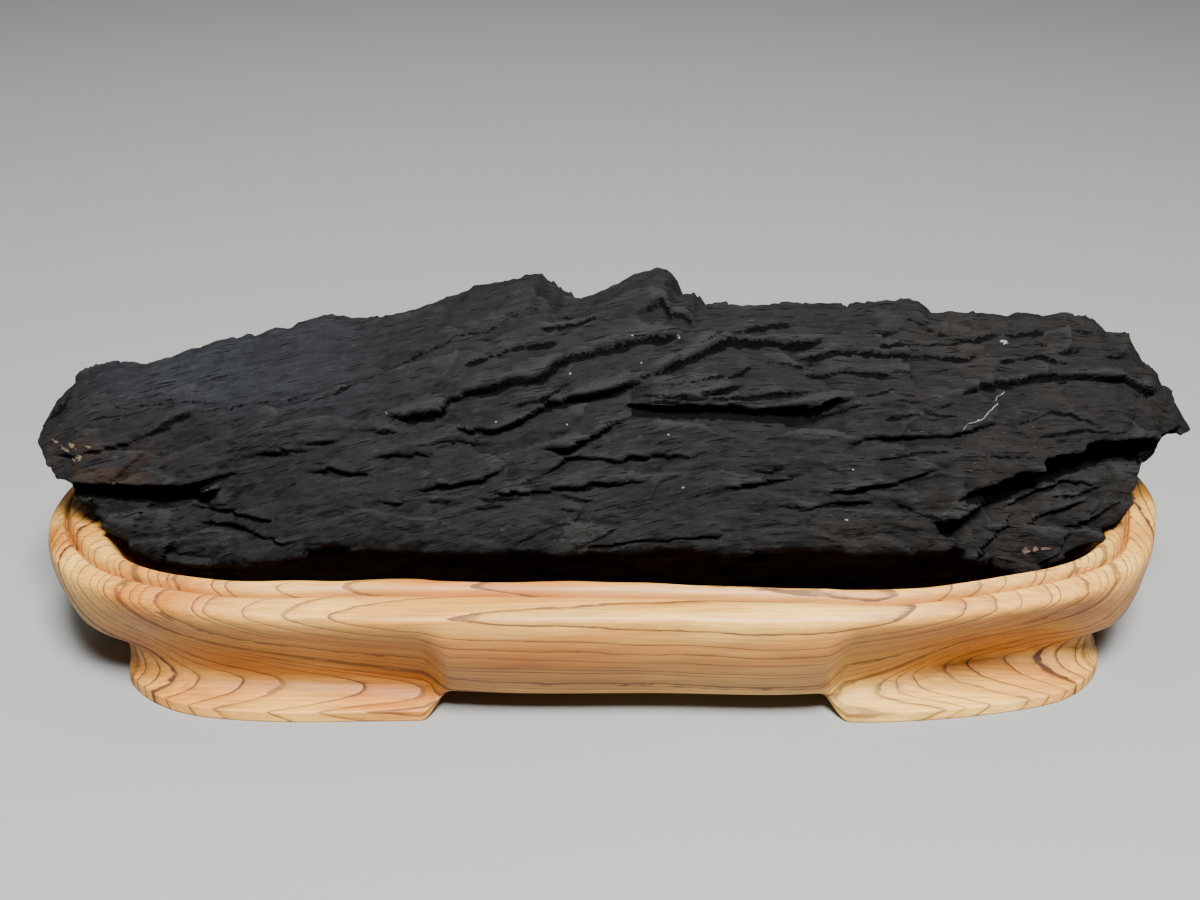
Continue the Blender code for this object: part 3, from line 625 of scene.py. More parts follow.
@dataclass(frozen=True)
class OiledHardwood:
    """Pale ring-porous hardwood, carved, sanded and thinly oiled.

    Each growth ring starts with a thin brown line of open pores and fades into smooth honey-coloured
    late wood. The oil leaves a soft sheen. The groove under the bead, the wall, its crease and the
    recess are darkened and reddened with painted shade.
    """

    honey: str = "#b86f1d"
    pale: str = "#e8b65a"
    pink: str = "#d0924a"
    ring: str = "#3e1e0a"
    # Reddish brown for the painted shade in the wood's hollows
    shade_red: str = "#8c4311"
    roughness: float = 0.5
    ring_mm: float = 4.3

    def material(self) -> bpy.types.Material:
        """Build the wood's node material."""
        recipe = Recipe("oiled_ring_porous_hardwood")
        add = recipe.add
        object_mm = add("VectorMath", {0: add("TexCoord").outputs["Object"], "Scale": 1000.0},
                        operation="SCALE")
        radius = add("Attribute", attribute_name="ring").outputs["Fac"]
        hollow = add("Attribute", attribute_name="hollow").outputs["Fac"]
        lengthwise = add("VectorMath", {0: object_mm, 1: (1 / 26.0, 1 / 1.1, 1 / 1.1)},
                         operation="MULTIPLY")
        fibre = add("TexNoise", {"Vector": lengthwise, "Scale": 1.0, "Detail": 5.0, "Roughness": 0.6})
        broad = add("TexNoise", {"Vector": add("VectorMath", {0: object_mm, 1: (1 / 90.0, 1 / 26.0,
                                                                               1 / 26.0)},
                                               operation="MULTIPLY"),
                                 "Scale": 1.0, "Detail": 3.0, "Roughness": 0.5})
        shake = add("TexNoise", {"Vector": add("VectorMath", {0: object_mm, 1: (1 / 9.0, 1 / 3.0,
                                                                               1 / 3.0)},
                                               operation="MULTIPLY"),
                                 "Scale": 1.0, "Detail": 3.0})
        uneven = add("TexNoise", {"W": add("Math", {0: radius, 1: 1 / 6.5}, operation="MULTIPLY"),
                                  "Scale": 1.0, "Detail": 1.0}, noise_dimensions="1D")
        warped = add("Math", {0: radius, 1: add("MapRange", {0: shake.outputs[0], 1: 0.3, 2: 0.7,
                                                            3: -0.25, 4: 0.25})}, operation="ADD")
        warped = add("Math", {0: warped, 1: add("MapRange", {0: uneven.outputs[0], 1: 0.2, 2: 0.8,
                                                            3: -2.6, 4: 2.6})}, operation="ADD")
        count = add("Math", {0: warped, 1: self.ring_mm}, operation="DIVIDE")
        share = add("Math", {0: count}, operation="FRACT")
        year = add("Math", {0: count}, operation="FLOOR")
        chance = add("TexWhiteNoise", {"W": year}, noise_dimensions="1D")
        core = add("MapRange", {0: share, 1: 0.09, 2: 0.19, 3: 1.0, 4: 0.0})
        fade = add("MapRange", {0: share, 1: 0.06, 2: 0.45, 3: 0.36, 4: 0.0})
        onset = add("MapRange", {0: share, 1: 0.97, 2: 1.0, 3: 0.0, 4: 1.0})
        line = add("Math", {0: add("Math", {0: core, 1: fade}, operation="MAXIMUM"), 1: onset},
                   operation="MAXIMUM")
        depth = add("MapRange", {0: chance.outputs[0], 1: 0.0, 2: 1.0, 3: 0.6, 4: 1.0})
        broken = add("MapRange", {0: shake.outputs[0], 1: 0.32, 2: 0.5, 3: 0.7, 4: 1.0})
        line = add("Math", {0: add("Math", {0: line, 1: depth}, operation="MULTIPLY"), 1: broken},
                   operation="MULTIPLY")
        body = add("Mix", {"Factor": add("MapRange", {0: broad.outputs[0], 1: 0.35, 2: 0.65}),
                           6: linear(self.honey), 7: linear(self.pale)}, data_type="RGBA")
        late = add("MapRange", {0: share, 1: 0.3, 2: 0.95, 3: 0.0, 4: 0.35})
        body = add("Mix", {"Factor": late, 6: body.outputs[2], 7: linear(self.pink)}, data_type="RGBA")
        body = add("VectorMath", {0: body.outputs[2], "Scale": add("MapRange", {
            0: fibre.outputs[0], 1: 0.32, 2: 0.68, 3: 0.7, 4: 1.2})}, operation="SCALE")
        # Painted shade: the groove, the wall, its crease and the recess are darkened and reddened
        body = add("Mix", {"Factor": hollow, 6: body, 7: linear(self.shade_red)}, data_type="RGBA")
        body = add("Mix", {"Factor": add("Math", {0: line, 1: 0.95}, operation="MULTIPLY"),
                           6: body.outputs[2], 7: linear(self.ring)}, data_type="RGBA")
        pores = add("TexNoise", {"Vector": add("VectorMath", {0: object_mm, 1: (1 / 2.4, 1 / 0.35,
                                                                               1 / 0.35)},
                                               operation="MULTIPLY"),
                                 "Scale": 1.0, "Detail": 1.0})
        open_pores = add("Math", {0: add("MapRange", {0: pores.outputs[0], 1: 0.6, 2: 0.68}),
                                  1: add("MapRange", {0: line, 1: 0.0, 2: 0.4, 3: 0.12, 4: 1.0})},
                         operation="MULTIPLY")
        body = add("Mix", {"Factor": add("Math", {0: open_pores, 1: 0.45}, operation="MULTIPLY"),
                           6: body.outputs[2], 7: linear(self.ring)}, data_type="RGBA")
        height = add("Math", {0: add("Math", {0: fibre.outputs[0], 1: 0.35}, operation="MULTIPLY"),
                              1: add("Math", {0: line, 1: open_pores}, operation="MAXIMUM")},
                     operation="SUBTRACT")
        relief = add("Bump", {"Height": height, "Strength": 0.25, "Distance": 0.0003})
        rough = add("MapRange", {0: line, 1: 0.0, 2: 1.0, 3: self.roughness, 4: self.roughness + 0.2})
        recipe.fill(recipe.shader, {"Base Color": body.outputs[2], "Roughness": rough,
                                    "Normal": relief, "Specular IOR Level": 0.45})
        return recipe.material


@dataclass
class Rock:
    """The stone: its smooth form, pushed in and out by ledges, beds, cracks and lumps."""

    left_x: float = -201.5
    right_x: float = 212.5
    left_bluntness: float = 7.0
    right_bluntness: float = 9.0
    seat_z: float = 30.5
    top_z: Line = (
        (-201.5, 80), (-197, 87), (-187, 95), (-150, 105), (-100, 115), (-50, 124.5), (0, 128),
        (40, 124.5), (110, 121.5), (175, 117), (190, 107), (203, 94), (212.5, 80))
    skyline_z: Line = (
        (-201.5, 80), (-197, 88), (-188, 95), (-172, 101), (-164, 100), (-139, 106), (-125, 109),
        (-101, 115), (-83, 115.5), (-64, 119.5), (-45, 126), (-22, 130), (-20, 130), (-18.5, 127.5),
        (-13, 124.5), (-11.5, 121), (-6, 120.5), (1, 124), (12, 129), (21, 130.5), (26, 129.5),
        (28.5, 122), (33, 122), (37, 117.5), (64, 119.5), (108, 120.5), (114, 120), (119, 115.5),
        (131, 115.5), (172, 117.5), (175, 116.5), (180, 110), (188, 110), (190.5, 104),
        (193, 99.5), (197, 97.5), (201, 95), (207, 88.5), (212.5, 80))
    under_z: Line = (
        (-201.5, 74), (-195, 66.5), (-187, 62), (-178, 59.5), (-172, 53), (-165, 42), (-155, 33),
        (-140, 28), (140, 28), (153, 36), (164, 46), (176, 53), (181, 52), (184, 57), (185, 64),
        (186, 73), (193, 75.5), (196, 80), (200, 83), (212.5, 80))
    lip_z: Line = (
        (-201.5, 78), (-190, 71), (-178, 63), (-165, 54), (-150, 49), (-125, 50), (-110, 56),
        (-100, 60), (-90, 62), (100, 62), (122, 60), (138, 51), (151, 46), (162, 51), (172, 56),
        (181, 58), (185, 67), (190, 79), (200, 83), (212.5, 80.5))
    front_y: Line = (
        (-201.5, -16), (-195, -27), (-180, -36), (-150, -43), (-100, -54), (-60, -57), (0, -58),
        (100, -57), (150, -48), (175, -40), (190, -31), (203, -19), (212.5, -7))
    back_y: Line = (
        (-201.5, 18), (-195, 28), (-180, 35), (-150, 45), (-100, 52), (0, 55), (90, 53),
        (150, 45), (180, 34), (200, 20), (212.5, 6))
    ridge_y: Line = ((-201.5, 2), (-170, 6), (-60, 10), (60, 10), (150, 6), (212.5, -2))
    # Section knots: the face from lip to ridge, the back from ridge down, then the underside
    face_knots: Line = ((0.0, 0.0), (0.13, 0.35), (0.36, 0.74), (0.66, 0.93), (1.0, 1.0))
    back_knots: Line = ((0.42, 0.14), (0.82, 0.42), (1.0, 0.76))
    under_knots: tuple[tuple[Side, float, float], ...] = (
        (Side.BACK, 0.03, 0.85), (Side.BACK, 0.28, 0.18), (Side.BACK, 0.80, 0.0),
        (Side.FRONT, 0.52, 0.0), (Side.FRONT, 0.30, 0.25), (Side.FRONT, 0.10, 0.78))
    # How many of the segments lie between each two knots: most of them on the face
    knot_segments: tuple[int, ...] = (36, 40, 27, 17, 16, 16, 18, 8, 8, 6, 10, 6, 8, 12)
    rings: int = 430
    ledge_edge: float = 0.3
    ledge_fade: float = 9.0
    fine_fade: float = 3.0
    lip_share: float = 0.6
    lip_droop: float = 0.16
    groove_end: float = 3.0
    gap_depth: float = 1.3
    jag_length: float = 13.0
    jag_height: float = 1.1
    facet_size: tuple[float, float, float] = (26.0, 15.0, 9.0)
    facet_height: float = 1.9
    block_facet_height: float = 3.4
    face_turns: tuple[float, float, float, float] = (-0.10, -0.03, 0.29, 0.34)
    crest_turns: tuple[float, float, float, float] = (0.19, 0.27, 0.36, 0.50)
    back_turns: tuple[float, float, float, float] = (0.35, 0.40, 0.58, 0.66)
    crest_slant: float = 0.2
    crest_y: float = 16.0
    end_fade: float = 17.0
    # Beds as (thickness, depth, reach along x, seed): thick, thin and paper-thin layers
    beds: tuple[tuple[float, float, float, float], ...] = (
        (9.5, 3.6, 62.0, 11.0), (3.3, 1.1, 14.0, 23.0), (1.5, 0.5, 7.0, 37.0))
    # What the face keeps of each kind of bed
    face_beds: tuple[float, float, float] = (0.26, 1.4, 1.6)
    # Lumps as (length, breadth, height), and what the face keeps of them
    lumps: tuple[tuple[float, float, float], ...] = ((52.0, 26.0, 3.4), (21.0, 9.0, 1.5))
    face_lumps: float = 0.42

    def sections(self, x: np.ndarray) -> np.ndarray:
        """Place the knots of the cross-section at each x.

        Args:
            x: places along the length.

        Returns:
            y and z by knot and x.
        """
        top, under = along(x, self.top_z), along(x, self.under_z)
        lip = along(x, self.lip_z) + 1.3 * noise_field(x / 17.0, 0.0, 0.0, 97.0) + 0.5 * noise_field(
            x / 6.0, 0.0, 0.0, 99.0)
        front, back, ridge = along(x, self.front_y), along(x, self.back_y), along(x, self.ridge_y)
        tall, deep, behind = top - lip, ridge - front, back - ridge
        knots = [(front + inward * deep, lip + up * tall) for inward, up in self.face_knots]
        knots += [(ridge + out * behind, top - down * tall) for out, down in self.back_knots]
        for side, share, up in self.under_knots:
            y = back - share * behind if side is Side.BACK else front + share * deep
            knots.append((y, under + up * (lip - under)))
        return np.array(knots).transpose(0, 2, 1)

    def form(self) -> tuple[np.ndarray, np.ndarray]:
        """Make the smooth form before any relief.

        Returns:
            Points by ring and segment, and each segment's turn from the lip up and over.
        """
        u = np.linspace(-1.0, 1.0, self.rings + 1)
        reach = 0.7 * u + 0.3 * np.sin(0.5 * math.pi * u)
        x = 0.5 * (self.left_x + self.right_x) + 0.5 * (self.right_x - self.left_x) * reach
        blunt = np.where(reach < 0, self.left_bluntness, self.right_bluntness)
        size = np.clip(1.0 - np.abs(reach) ** blunt, 0.0, 1.0) ** (1.0 / blunt)
        knots = self.sections(x)
        centre = 0.5 * (knots.max(axis=0) + knots.min(axis=0))
        knots = centre + (knots - centre) * size[None, :, None]
        spread = [np.arange(count) / count for count in self.knot_segments]
        turn = np.concatenate([knot + part for knot, part in enumerate(spread)]) / len(spread)
        points = np.empty((self.rings + 1, len(turn), 3))
        points[..., 0] = x[:, None]
        for ring in range(self.rings + 1):
            points[ring, :, 1:] = closed_spline(knots[:, ring], turn)
        return points, turn

    def ledge_relief(self, ledges: tuple[Ledge, ...], x: np.ndarray, z: np.ndarray,
                     longest_fade: float, vary: np.ndarray,
                     steep: np.ndarray) -> tuple[np.ndarray, np.ndarray, np.ndarray]:
        """Work out what a set of ledges does to the surface.

        Args:
            ledges: the ledges.
            x: places along the length.
            z: heights.
            longest_fade: how far a ledge may take to die away at its ends.
            vary: how wide the gap under a lip opens at each place, about 1.
            steep: how far the smooth form rises for each step across it, from 0 to 1.

        Returns:
            How far the surface moves out, how far it hangs down, and how deep inside a gap each
            place lies, which is below 0 outside the gaps.
        """
        out, down, gap = np.zeros_like(x), np.zeros_like(x), np.full_like(x, -FAR)
        for ledge in ledges:
            start, end = ledge.lip[0][0], ledge.lip[-1][0]
            fade = min(longest_fade, 0.45 * (end - start))
            near = (x > start - 3) & (x < end + 3)
            at_x, at_z = x[near], z[near]
            present = region((start - 3, start + fade, end - fade, end + 3), at_x)
            above = at_z - along(at_x, ledge.lip)
            opened = 0.5 * (1.0 + np.tanh(above / self.ledge_edge))
            over = np.maximum(above, 0.0)
            beneath = np.maximum(-above - ledge.groove, 0.0)
            groove_end = min(self.groove_end, 2.5 * ledge.groove)
            proud = self.lip_share * opened * np.clip(1.0 - 0.5 * over / ledge.rise, 0.0, 1.0)
            hollow = (1.0 - self.lip_share) * (1.0 - opened) * np.clip(1.0 - 0.4 * beneath / groove_end,
                                                                       0.0, 1.0)
            half = 0.5 * ledge.groove * present * vary[near]
            inside = half - np.abs(above / steep[near] + half)
            pit = self.gap_depth * smoothstep(-0.4, 0.4, inside) * present
            out[near] += present * ledge.depth * (proud - hollow) - pit * min(ledge.groove, 2.0)
            down[near] += present * ledge.depth * self.lip_droop * opened * np.exp(-over / groove_end)
            gap[near] = np.maximum(gap[near], inside - 0.6 * (1.0 - present))
        return out, down, gap

    def undercut_relief(self, x: np.ndarray, z: np.ndarray) -> tuple[np.ndarray, np.ndarray]:
        """Work out how far the deep gaps go in, and how deep inside one each place lies."""
        out, gap = np.zeros_like(x), np.full_like(x, -FAR)
        for cut in UNDERCUTS:
            start, end = cut.roof[0][0], cut.roof[-1][0]
            present = region((start - 1, start + 2, end, end + 4), x)
            below_roof = along(x, cut.roof) - z
            above_floor = z - along(x, cut.floor)
            under = 0.5 * (1.0 + np.tanh(below_roof / self.ledge_edge))
            over = 0.5 * (1.0 + np.tanh(above_floor / self.ledge_edge))
            out -= present * under * (cut.depth * over + cut.setback * (1.0 - over))
            gap = np.maximum(gap, np.minimum(below_roof, above_floor + 0.8) - FAR * (1.0 - present))
        return out, gap

    def jagged(self, x: np.ndarray, z: np.ndarray) -> np.ndarray:
        """Work out the jags of a broken lip: slow climbs that end in sudden drops."""
        place = x / self.jag_length + 2.4 * noise_field(x / 26, z / 9, 0.0, 53.0)
        return self.jag_height * (place - np.floor(place) - 0.5)

    def facets(self, x: np.ndarray, y: np.ndarray, z: np.ndarray) -> np.ndarray:
        """Tilt each cell of a broken surface its own way, from about -1 to 1."""
        cells = np.empty(x.size)
        spots = zip((x / self.facet_size[0]).ravel().tolist(), (y / self.facet_size[1]).ravel().tolist(),
                    (z / self.facet_size[2]).ravel().tolist())
        for index, spot in enumerate(spots):
            centre = noise.voronoi(spot)[1][0]
            tilt = noise.cell_vector(centre * 7.3)
            cells[index] = (Vector(spot) - centre).dot(tilt) + 0.5 * tilt.x
        return cells.reshape(x.shape)

    def break_relief(self, x: np.ndarray, z: np.ndarray) -> np.ndarray:
        """Work out the steps across the short cross breaks, at places x and heights z."""
        out = np.zeros_like(x)
        for path, step in CROSS_BREAKS:
            low, high = path[0][0], path[-1][0]
            present = region((low - 2, low + 1, high - 1, high + 3), z)
            beyond = x - along(z, path)
            before = 0.5 * (1.0 - np.tanh(beyond / self.ledge_edge))
            out += step * present * (0.5 * before * np.exp(np.minimum(beyond, 0.0) / 9.0)
                                     - 0.5 * (1.0 - before) * np.exp(-np.maximum(beyond, 0.0) / 6.0))
        return out

    def bed_height(self, points: np.ndarray) -> np.ndarray:
        """Measure across the beds, which climb on the left flank and lie level on the right."""
        x, y, z = np.moveaxis(points, -1, 0)
        return 0.75 * z + 0.66 * y - 0.20 * np.minimum(x, 40.0)

    def bed_relief(self, points: np.ndarray, kind: int) -> np.ndarray:
        """Work out how far the broken edges of one kind of bed stand out.

        Args:
            points: places on the smooth form.
            kind: which of the rock's kinds of bed.

        Returns:
            Distances out of the surface.
        """
        thickness, depth, reach, seed = self.beds[kind]
        x, y, _ = np.moveaxis(points, -1, 0)
        bed = self.bed_height(points)
        warp = noise_field(x / reach, bed / (2.7 * thickness), y / (0.65 * reach), seed)
        place = bed / thickness + 1.1 * warp
        layer = np.floor(place)
        share = place - layer
        thick = np.modf(np.abs(np.sin(layer * 12.9898 + seed)) * 437.585)[0]
        rare = 0.05 if kind else -0.25
        present = smoothstep(rare, rare + 0.35, noise_field(1.8 * x / reach, layer * 3.7, y / 60.0, seed + 5.0))
        saw = np.where(share < 0.86, 1.0 - share / 0.86, (share - 0.86) / 0.14)
        return depth * (0.3 + 0.7 * thick) * present * (saw - 0.4)

    def build(self) -> bpy.types.Object:
        """Build the rock's mesh with its attributes, and return it."""
        points, turn = self.form()
        normal = outward(points)
        x, y, z = np.moveaxis(points, -1, 0)
        signed_turn = np.where(turn > 0.7, turn - 1.0, turn)
        face, crest, back = (region(limits, signed_turn)[None, :] for limits in
                             (self.face_turns, self.crest_turns, self.back_turns))
        waver = (0.8 * noise_field(x / 12, y / 12, z / 9, 3.0)
                 + 0.22 * noise_field(x / 4, y / 4, z / 4, 5.0) + self.jagged(x, z))
        vary = np.clip(1.0 + 1.2 * noise_field(x / 13, y / 13, z / 13, 9.0), 0.35, 1.6)
        steep = np.clip(np.sqrt(1.0 - normal[..., 2] ** 2), 0.35, 1.0)
        waver *= steep
        lip_z = z + waver
        face_out, face_down, face_gap = self.ledge_relief(
            FACE_LEDGES, x, lip_z, self.ledge_fade, vary, steep)
        fine_out, fine_down, fine_gap = self.ledge_relief(
            FINE_LEDGES, x, lip_z - 0.4 * waver, self.fine_fade, vary, steep)
        back_out, back_down, back_gap = self.ledge_relief(
            BACK_LEDGES, x, lip_z, self.ledge_fade, vary, steep)
        deep_out, deep_gap = self.undercut_relief(x, z + 0.5 * waver)
        push = face * (face_out + fine_out + self.break_relief(x + waver, z)) + back * back_out
        gap = np.maximum.reduce((face_gap - FAR * (1.0 - face), fine_gap - FAR * (1.0 - face),
                                 back_gap - FAR * (1.0 - back), deep_gap - FAR * (1.0 - face)))
        for kind, kept in enumerate(self.face_beds):
            push += (1.0 - (1.0 - kept) * face) * self.bed_relief(points, kind)
        for length, breadth, height in self.lumps:
            push += height * (1.0 - (1.0 - self.face_lumps) * face) * noise_field(
                x / length, y / breadth, z / breadth, length)
        chips = (0.55 * noise_field(x / 6.5, y / 4.5, z / 4.5, 61.0)
                 + 0.3 * noise_field(x / 2.8, y / 2.2, z / 2.2, 67.0))
        push += chips
        block = np.maximum(smoothstep(135, 150, x), smoothstep(-120, -140, x)) * (z < 72)
        push += (self.facet_height + (self.block_facet_height - self.facet_height) * block) * (
            self.facets(x, y, self.bed_height(points)))
        ends = region((self.left_x, self.left_x + self.end_fade,
                       self.right_x - self.end_fade, self.right_x), x)
        points = points + normal * (push * (0.15 + 0.85 * ends))[..., None]
        crest_x = x - self.crest_slant * (y - self.crest_y)
        scallops = (0.8 * noise_field(crest_x / 6.0, y / 14.0, z / 14.0, 71.0)
                    + 0.5 * noise_field(crest_x / 2.4, y / 7.0, z / 7.0, 73.0))
        points[..., 2] += crest * (along(crest_x, self.skyline_z) - along(crest_x, self.top_z)
                                   + ends * scallops)
        points[..., 2] -= ends * (face * (face_down + fine_down) + back * back_down)
        points[..., 2] = np.maximum(points[..., 2], self.seat_z)
        points[..., 1] -= face * deep_out
        # Above 0 in hollows, below 0 where the surface stands proud: the stone paints shade in the hollows and
        # paler proud edges
        cavity = np.clip((blurred(push, 24) - push) / 1.6, -1.0, 1.0)
        left_rust = np.exp(-((x + 172) / 24) ** 2 - ((z - 77) / 7.5) ** 2)
        patchy = smoothstep(-0.35, 0.45, noise_field(x / 9, y / 9, z / 6, 83.0))
        # Painted shade under the rock: the underside is counted as a gap, which the stone paints black
        beneath = smoothstep(-0.02, -0.06, np.broadcast_to(signed_turn, x.shape))
        gap = np.maximum(gap, 1.4 * beneath - 0.6 - FAR * (beneath < 0.01))
        fields = {
            "bed": self.bed_height(points) + 0.8 * noise_field(x / 17, y / 17, z / 12, 43.0),
            "cavity": cavity,
            "gap": gap,
            "rust": face * 0.75 * left_rust * patchy,
            # Painted sky sheen on the upper left of the rock
            "sky_sheen": smoothstep(-40, -150, x) * smoothstep(88, 104, z) * 0.7,
            "warm": smoothstep(-20, 150, x) + 0.35 * (1.0 - smoothstep(60, 90, z)),
        }
        place = (points + np.array([PLACING.x, PLACING.y, 0.0])) * MM
        return wrapped_mesh("layered_rock", place, fields)

    def dress(self, body: bpy.types.Object) -> bpy.types.Object:
        """Give the rock its stone and its place on the part."""
        body.data.materials.append(LayeredStone().material())
        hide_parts("rock")
        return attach(body, "root")


@dataclass
class Stand:
    """The wooden stand: a carved profile swept round an outline, with arches between its feet."""

    arch_x: tuple[float, float] = (-56.0, 81.0)
    arch_y: tuple[float, float] = (-26.0, 24.0)
    arch_sweep: float = 12.0
    arch_z: float = 8.4
    toe_z: float = 3.8
    waist_z: float = 9.6
    crease_z: float = 8.8
    waist_drop: float = 0.2
    waist_front: float = 20.0
    shoulder_z: float = 45.0
    bead_z: float = 52.3
    recess_z: float = 30.0
    pad_inset: float = 42.0
    foot_end_spare: float = 18.0
    around: int = 640
    # The growth rings' pith runs under the stand: its depth, its slope and its rise at the ends
    pith_z: float = -55.0
    pith_slope: float = -0.05
    pith_rise: float = 53.0

    def arch_share(self, x: np.ndarray, y: np.ndarray) -> np.ndarray:
        """Give 1 in the arches between the feet and 0 over the feet."""
        half = 0.5 * self.arch_sweep
        windows = [region((low - half, low + half, high - half, high + half), value)
                   for value, (low, high) in ((x, self.arch_x), (y, self.arch_y))]
        return np.maximum(*windows)

    def outline(self) -> np.ndarray:
        """Space places round the shoulder, closer at the foot ends.

        Returns:
            One row for each place, with the fields of a Station.
        """
        table = np.array([[s.x, s.y, s.groove, s.bead, s.waist, s.toe] for s in STATIONS])
        fine = closed_spline(table, np.linspace(0.0, 1.0, 8001))
        arch = self.arch_share(fine[:, 0], fine[:, 1])
        step = np.hypot(np.diff(fine[:, 0]), np.diff(fine[:, 1]))
        measure = np.concatenate(([0.0], np.cumsum(step + self.foot_end_spare * np.abs(np.diff(arch)))))
        wanted = np.linspace(0.0, measure[-1], self.around, endpoint=False)
        return np.stack([np.interp(wanted, measure, column) for column in fine.T], axis=-1)

    def knots(self, places: np.ndarray) -> list[tuple[np.ndarray, np.ndarray]]:
        """Set the knots of the profile at each place, under side first.

        Args:
            places: rows from outline().

        Returns:
            Pairs of inset from the shoulder and height.
        """
        x, y, groove, bead, waist, toe = places.T
        arch = self.arch_share(x, y)

        def level(foot_inset: Any, foot_z: Any, arch_inset: Any,
                  arch_z: Any) -> tuple[np.ndarray, np.ndarray]:
            """Blend a foot's knot into an arch's."""
            return (foot_inset + (arch_inset - foot_inset) * arch, foot_z + (arch_z - foot_z) * arch)

        flare = waist - toe
        corner = smoothstep(150.0, 188.0, np.abs(x))
        waist_z = self.crease_z + (self.waist_z - self.crease_z) * corner
        waist_z -= self.waist_drop * corner * (waist - self.waist_front)
        under = self.arch_z + 0.6
        pairs = [
            level(self.pad_inset + 3, under, self.pad_inset + 3, under),
            level(self.pad_inset, 0, self.pad_inset, under),
            level(toe, 0, waist + 3, self.arch_z + 0.3),
            level(toe + 0.4, self.toe_z, waist - 0.5, self.arch_z),
            level(toe + 0.55 * flare, self.toe_z + 1.9, waist - 3.2, self.arch_z + 0.9),
            level(toe + 0.80 * flare, waist_z - 1.2, waist - 5.2, self.arch_z + 2.4),
            level(waist - 0.7, waist_z + 1.2, waist - 6.8, self.arch_z + 4.6),
            level(0.92 * waist, waist_z + 5.0, waist - 8.8, self.arch_z + 8.0),
        ]
        # Share of the waist's depth where the wall is round, where it runs straight, and the height
        bulge = ((0.34, 0.73, 22.0), (0.14, 0.46, 29.5), (0.03, 0.16, 37.5), (0.0, 0.0, self.shoulder_z))
        rounded = np.maximum(arch, smoothstep(158.0, 187.0, np.abs(x)))
        pairs += [((straight + (bowed - straight) * rounded) * waist, np.full_like(waist, height))
                  for bowed, straight, height in bulge]
        rim = ((1.6 + 0 * groove, 48.2), (groove - 1.6, 50.0), (groove, 48.0), (groove + 1.4, 51.2),
               (groove + 3.4, self.bead_z + 0.3), (bead - 1.6, self.bead_z), (bead + 1.2, 48.5),
               (bead + 6, 39.0), (bead + 15, self.recess_z))
        pairs += [(inset, np.full_like(waist, height)) for inset, height in rim]
        return pairs

    def profile(self, places: np.ndarray) -> np.ndarray:
        """Draw the profile finely between its knots, with softened corners.

        Args:
            places: rows from outline().

        Returns:
            Inset and height by level and place.
        """
        knots = np.array(self.knots(places))
        # Runs between corners: inner and outer pad edge, toe edge and groove
        corners = (0, 1, 2, 3, 14, len(knots) - 1)
        steps = (3, 9, 7, 7, 6)
        levels = []
        for start, end, count in zip(corners, corners[1:], steps):
            run = knots[start:end + 1]
            run = np.concatenate((2 * run[:1] - run[1:2], run, 2 * run[-1:] - run[-2:-1]))
            for first in range(end - start):
                for step in range(count):
                    share = 0.5 - 0.5 * math.cos(math.pi * step / count) if end - start == 1 else step / count
                    levels.append(catmull(*run[first:first + 4], share))
        levels.append(knots[-1])
        levels = np.array(levels)
        for _ in range(1):
            levels[1:-1] = 0.25 * levels[:-2] + 0.5 * levels[1:-1] + 0.25 * levels[2:]
        return levels

    def build(self) -> bpy.types.Object:
        """Build the stand's mesh with its attributes, and return it."""
        places = self.outline()
        sweep = np.linspace(0.0, 2.0 * math.pi, self.around, endpoint=False)
        places[:, 3] += 1.6 * noise_field(9.0 * np.cos(sweep), 9.0 * np.sin(sweep), 0.0, 91.0)
        places[:, 2] += 0.4 * noise_field(5.0 * np.cos(sweep), 5.0 * np.sin(sweep), 0.0, 95.0)
        x, y = places[:, 0], places[:, 1]
        tangent = np.stack((np.roll(x, -1) - np.roll(x, 1), np.roll(y, -1) - np.roll(y, 1)), axis=-1)
        tangent /= np.linalg.norm(tangent, axis=1, keepdims=True)
        levels = self.profile(places)
        points = np.empty((len(levels), self.around, 3))
        points[..., 0] = x - tangent[:, 1] * levels[:, 0]
        points[..., 1] = y + tangent[:, 0] * levels[:, 0]
        points[..., 2] = levels[:, 1]
        spokes = (0.0, 0.2, 0.4, 0.6, 0.8)
        under = [points[0] * np.array([share, share, 1.0]) for share in spokes]
        floor = [points[-1] * np.array([share, share, 1.0]) for share in reversed(spokes)]
        under[0][:, 2] = points[0, :, 2].mean()
        points = np.concatenate((under, points, floor))
        px, py, pz = np.moveaxis(points, -1, 0)
        carving = 0.28 * noise_field(px / 24, py / 16, pz / 9, 31.0)
        inward = np.stack((-tangent[:, 1], tangent[:, 0]), axis=-1)
        on_side = region((10.0, 16.0, 47.0, 52.0), pz)
        points[..., :2] += (on_side * carving)[..., None] * inward
        # The hollow attribute carries the wood's painted shade
        fields = {"ring": self.growth_ring(points), "hollow": self.hollow(places, points)}
        place = (points + np.array([PLACING.x, PLACING.y, 0.0])) * MM
        made = wrapped_mesh("carved_stand", place, fields)
        return made

    def growth_ring(self, points: np.ndarray) -> np.ndarray:
        """Measure how far each point is from the log's pith, with the log's own waver."""
        x, y, z = np.moveaxis(points, -1, 0)
        pith = self.pith_z + self.pith_slope * x + self.pith_rise * np.abs(x / 200.0) ** 3
        waver = 1.5 * noise_field(x / 70, y / 30, z / 30, 13.0) + 0.5 * noise_field(x / 24, y / 10, z / 10, 17.0)
        return np.hypot(y, z - pith) + waver

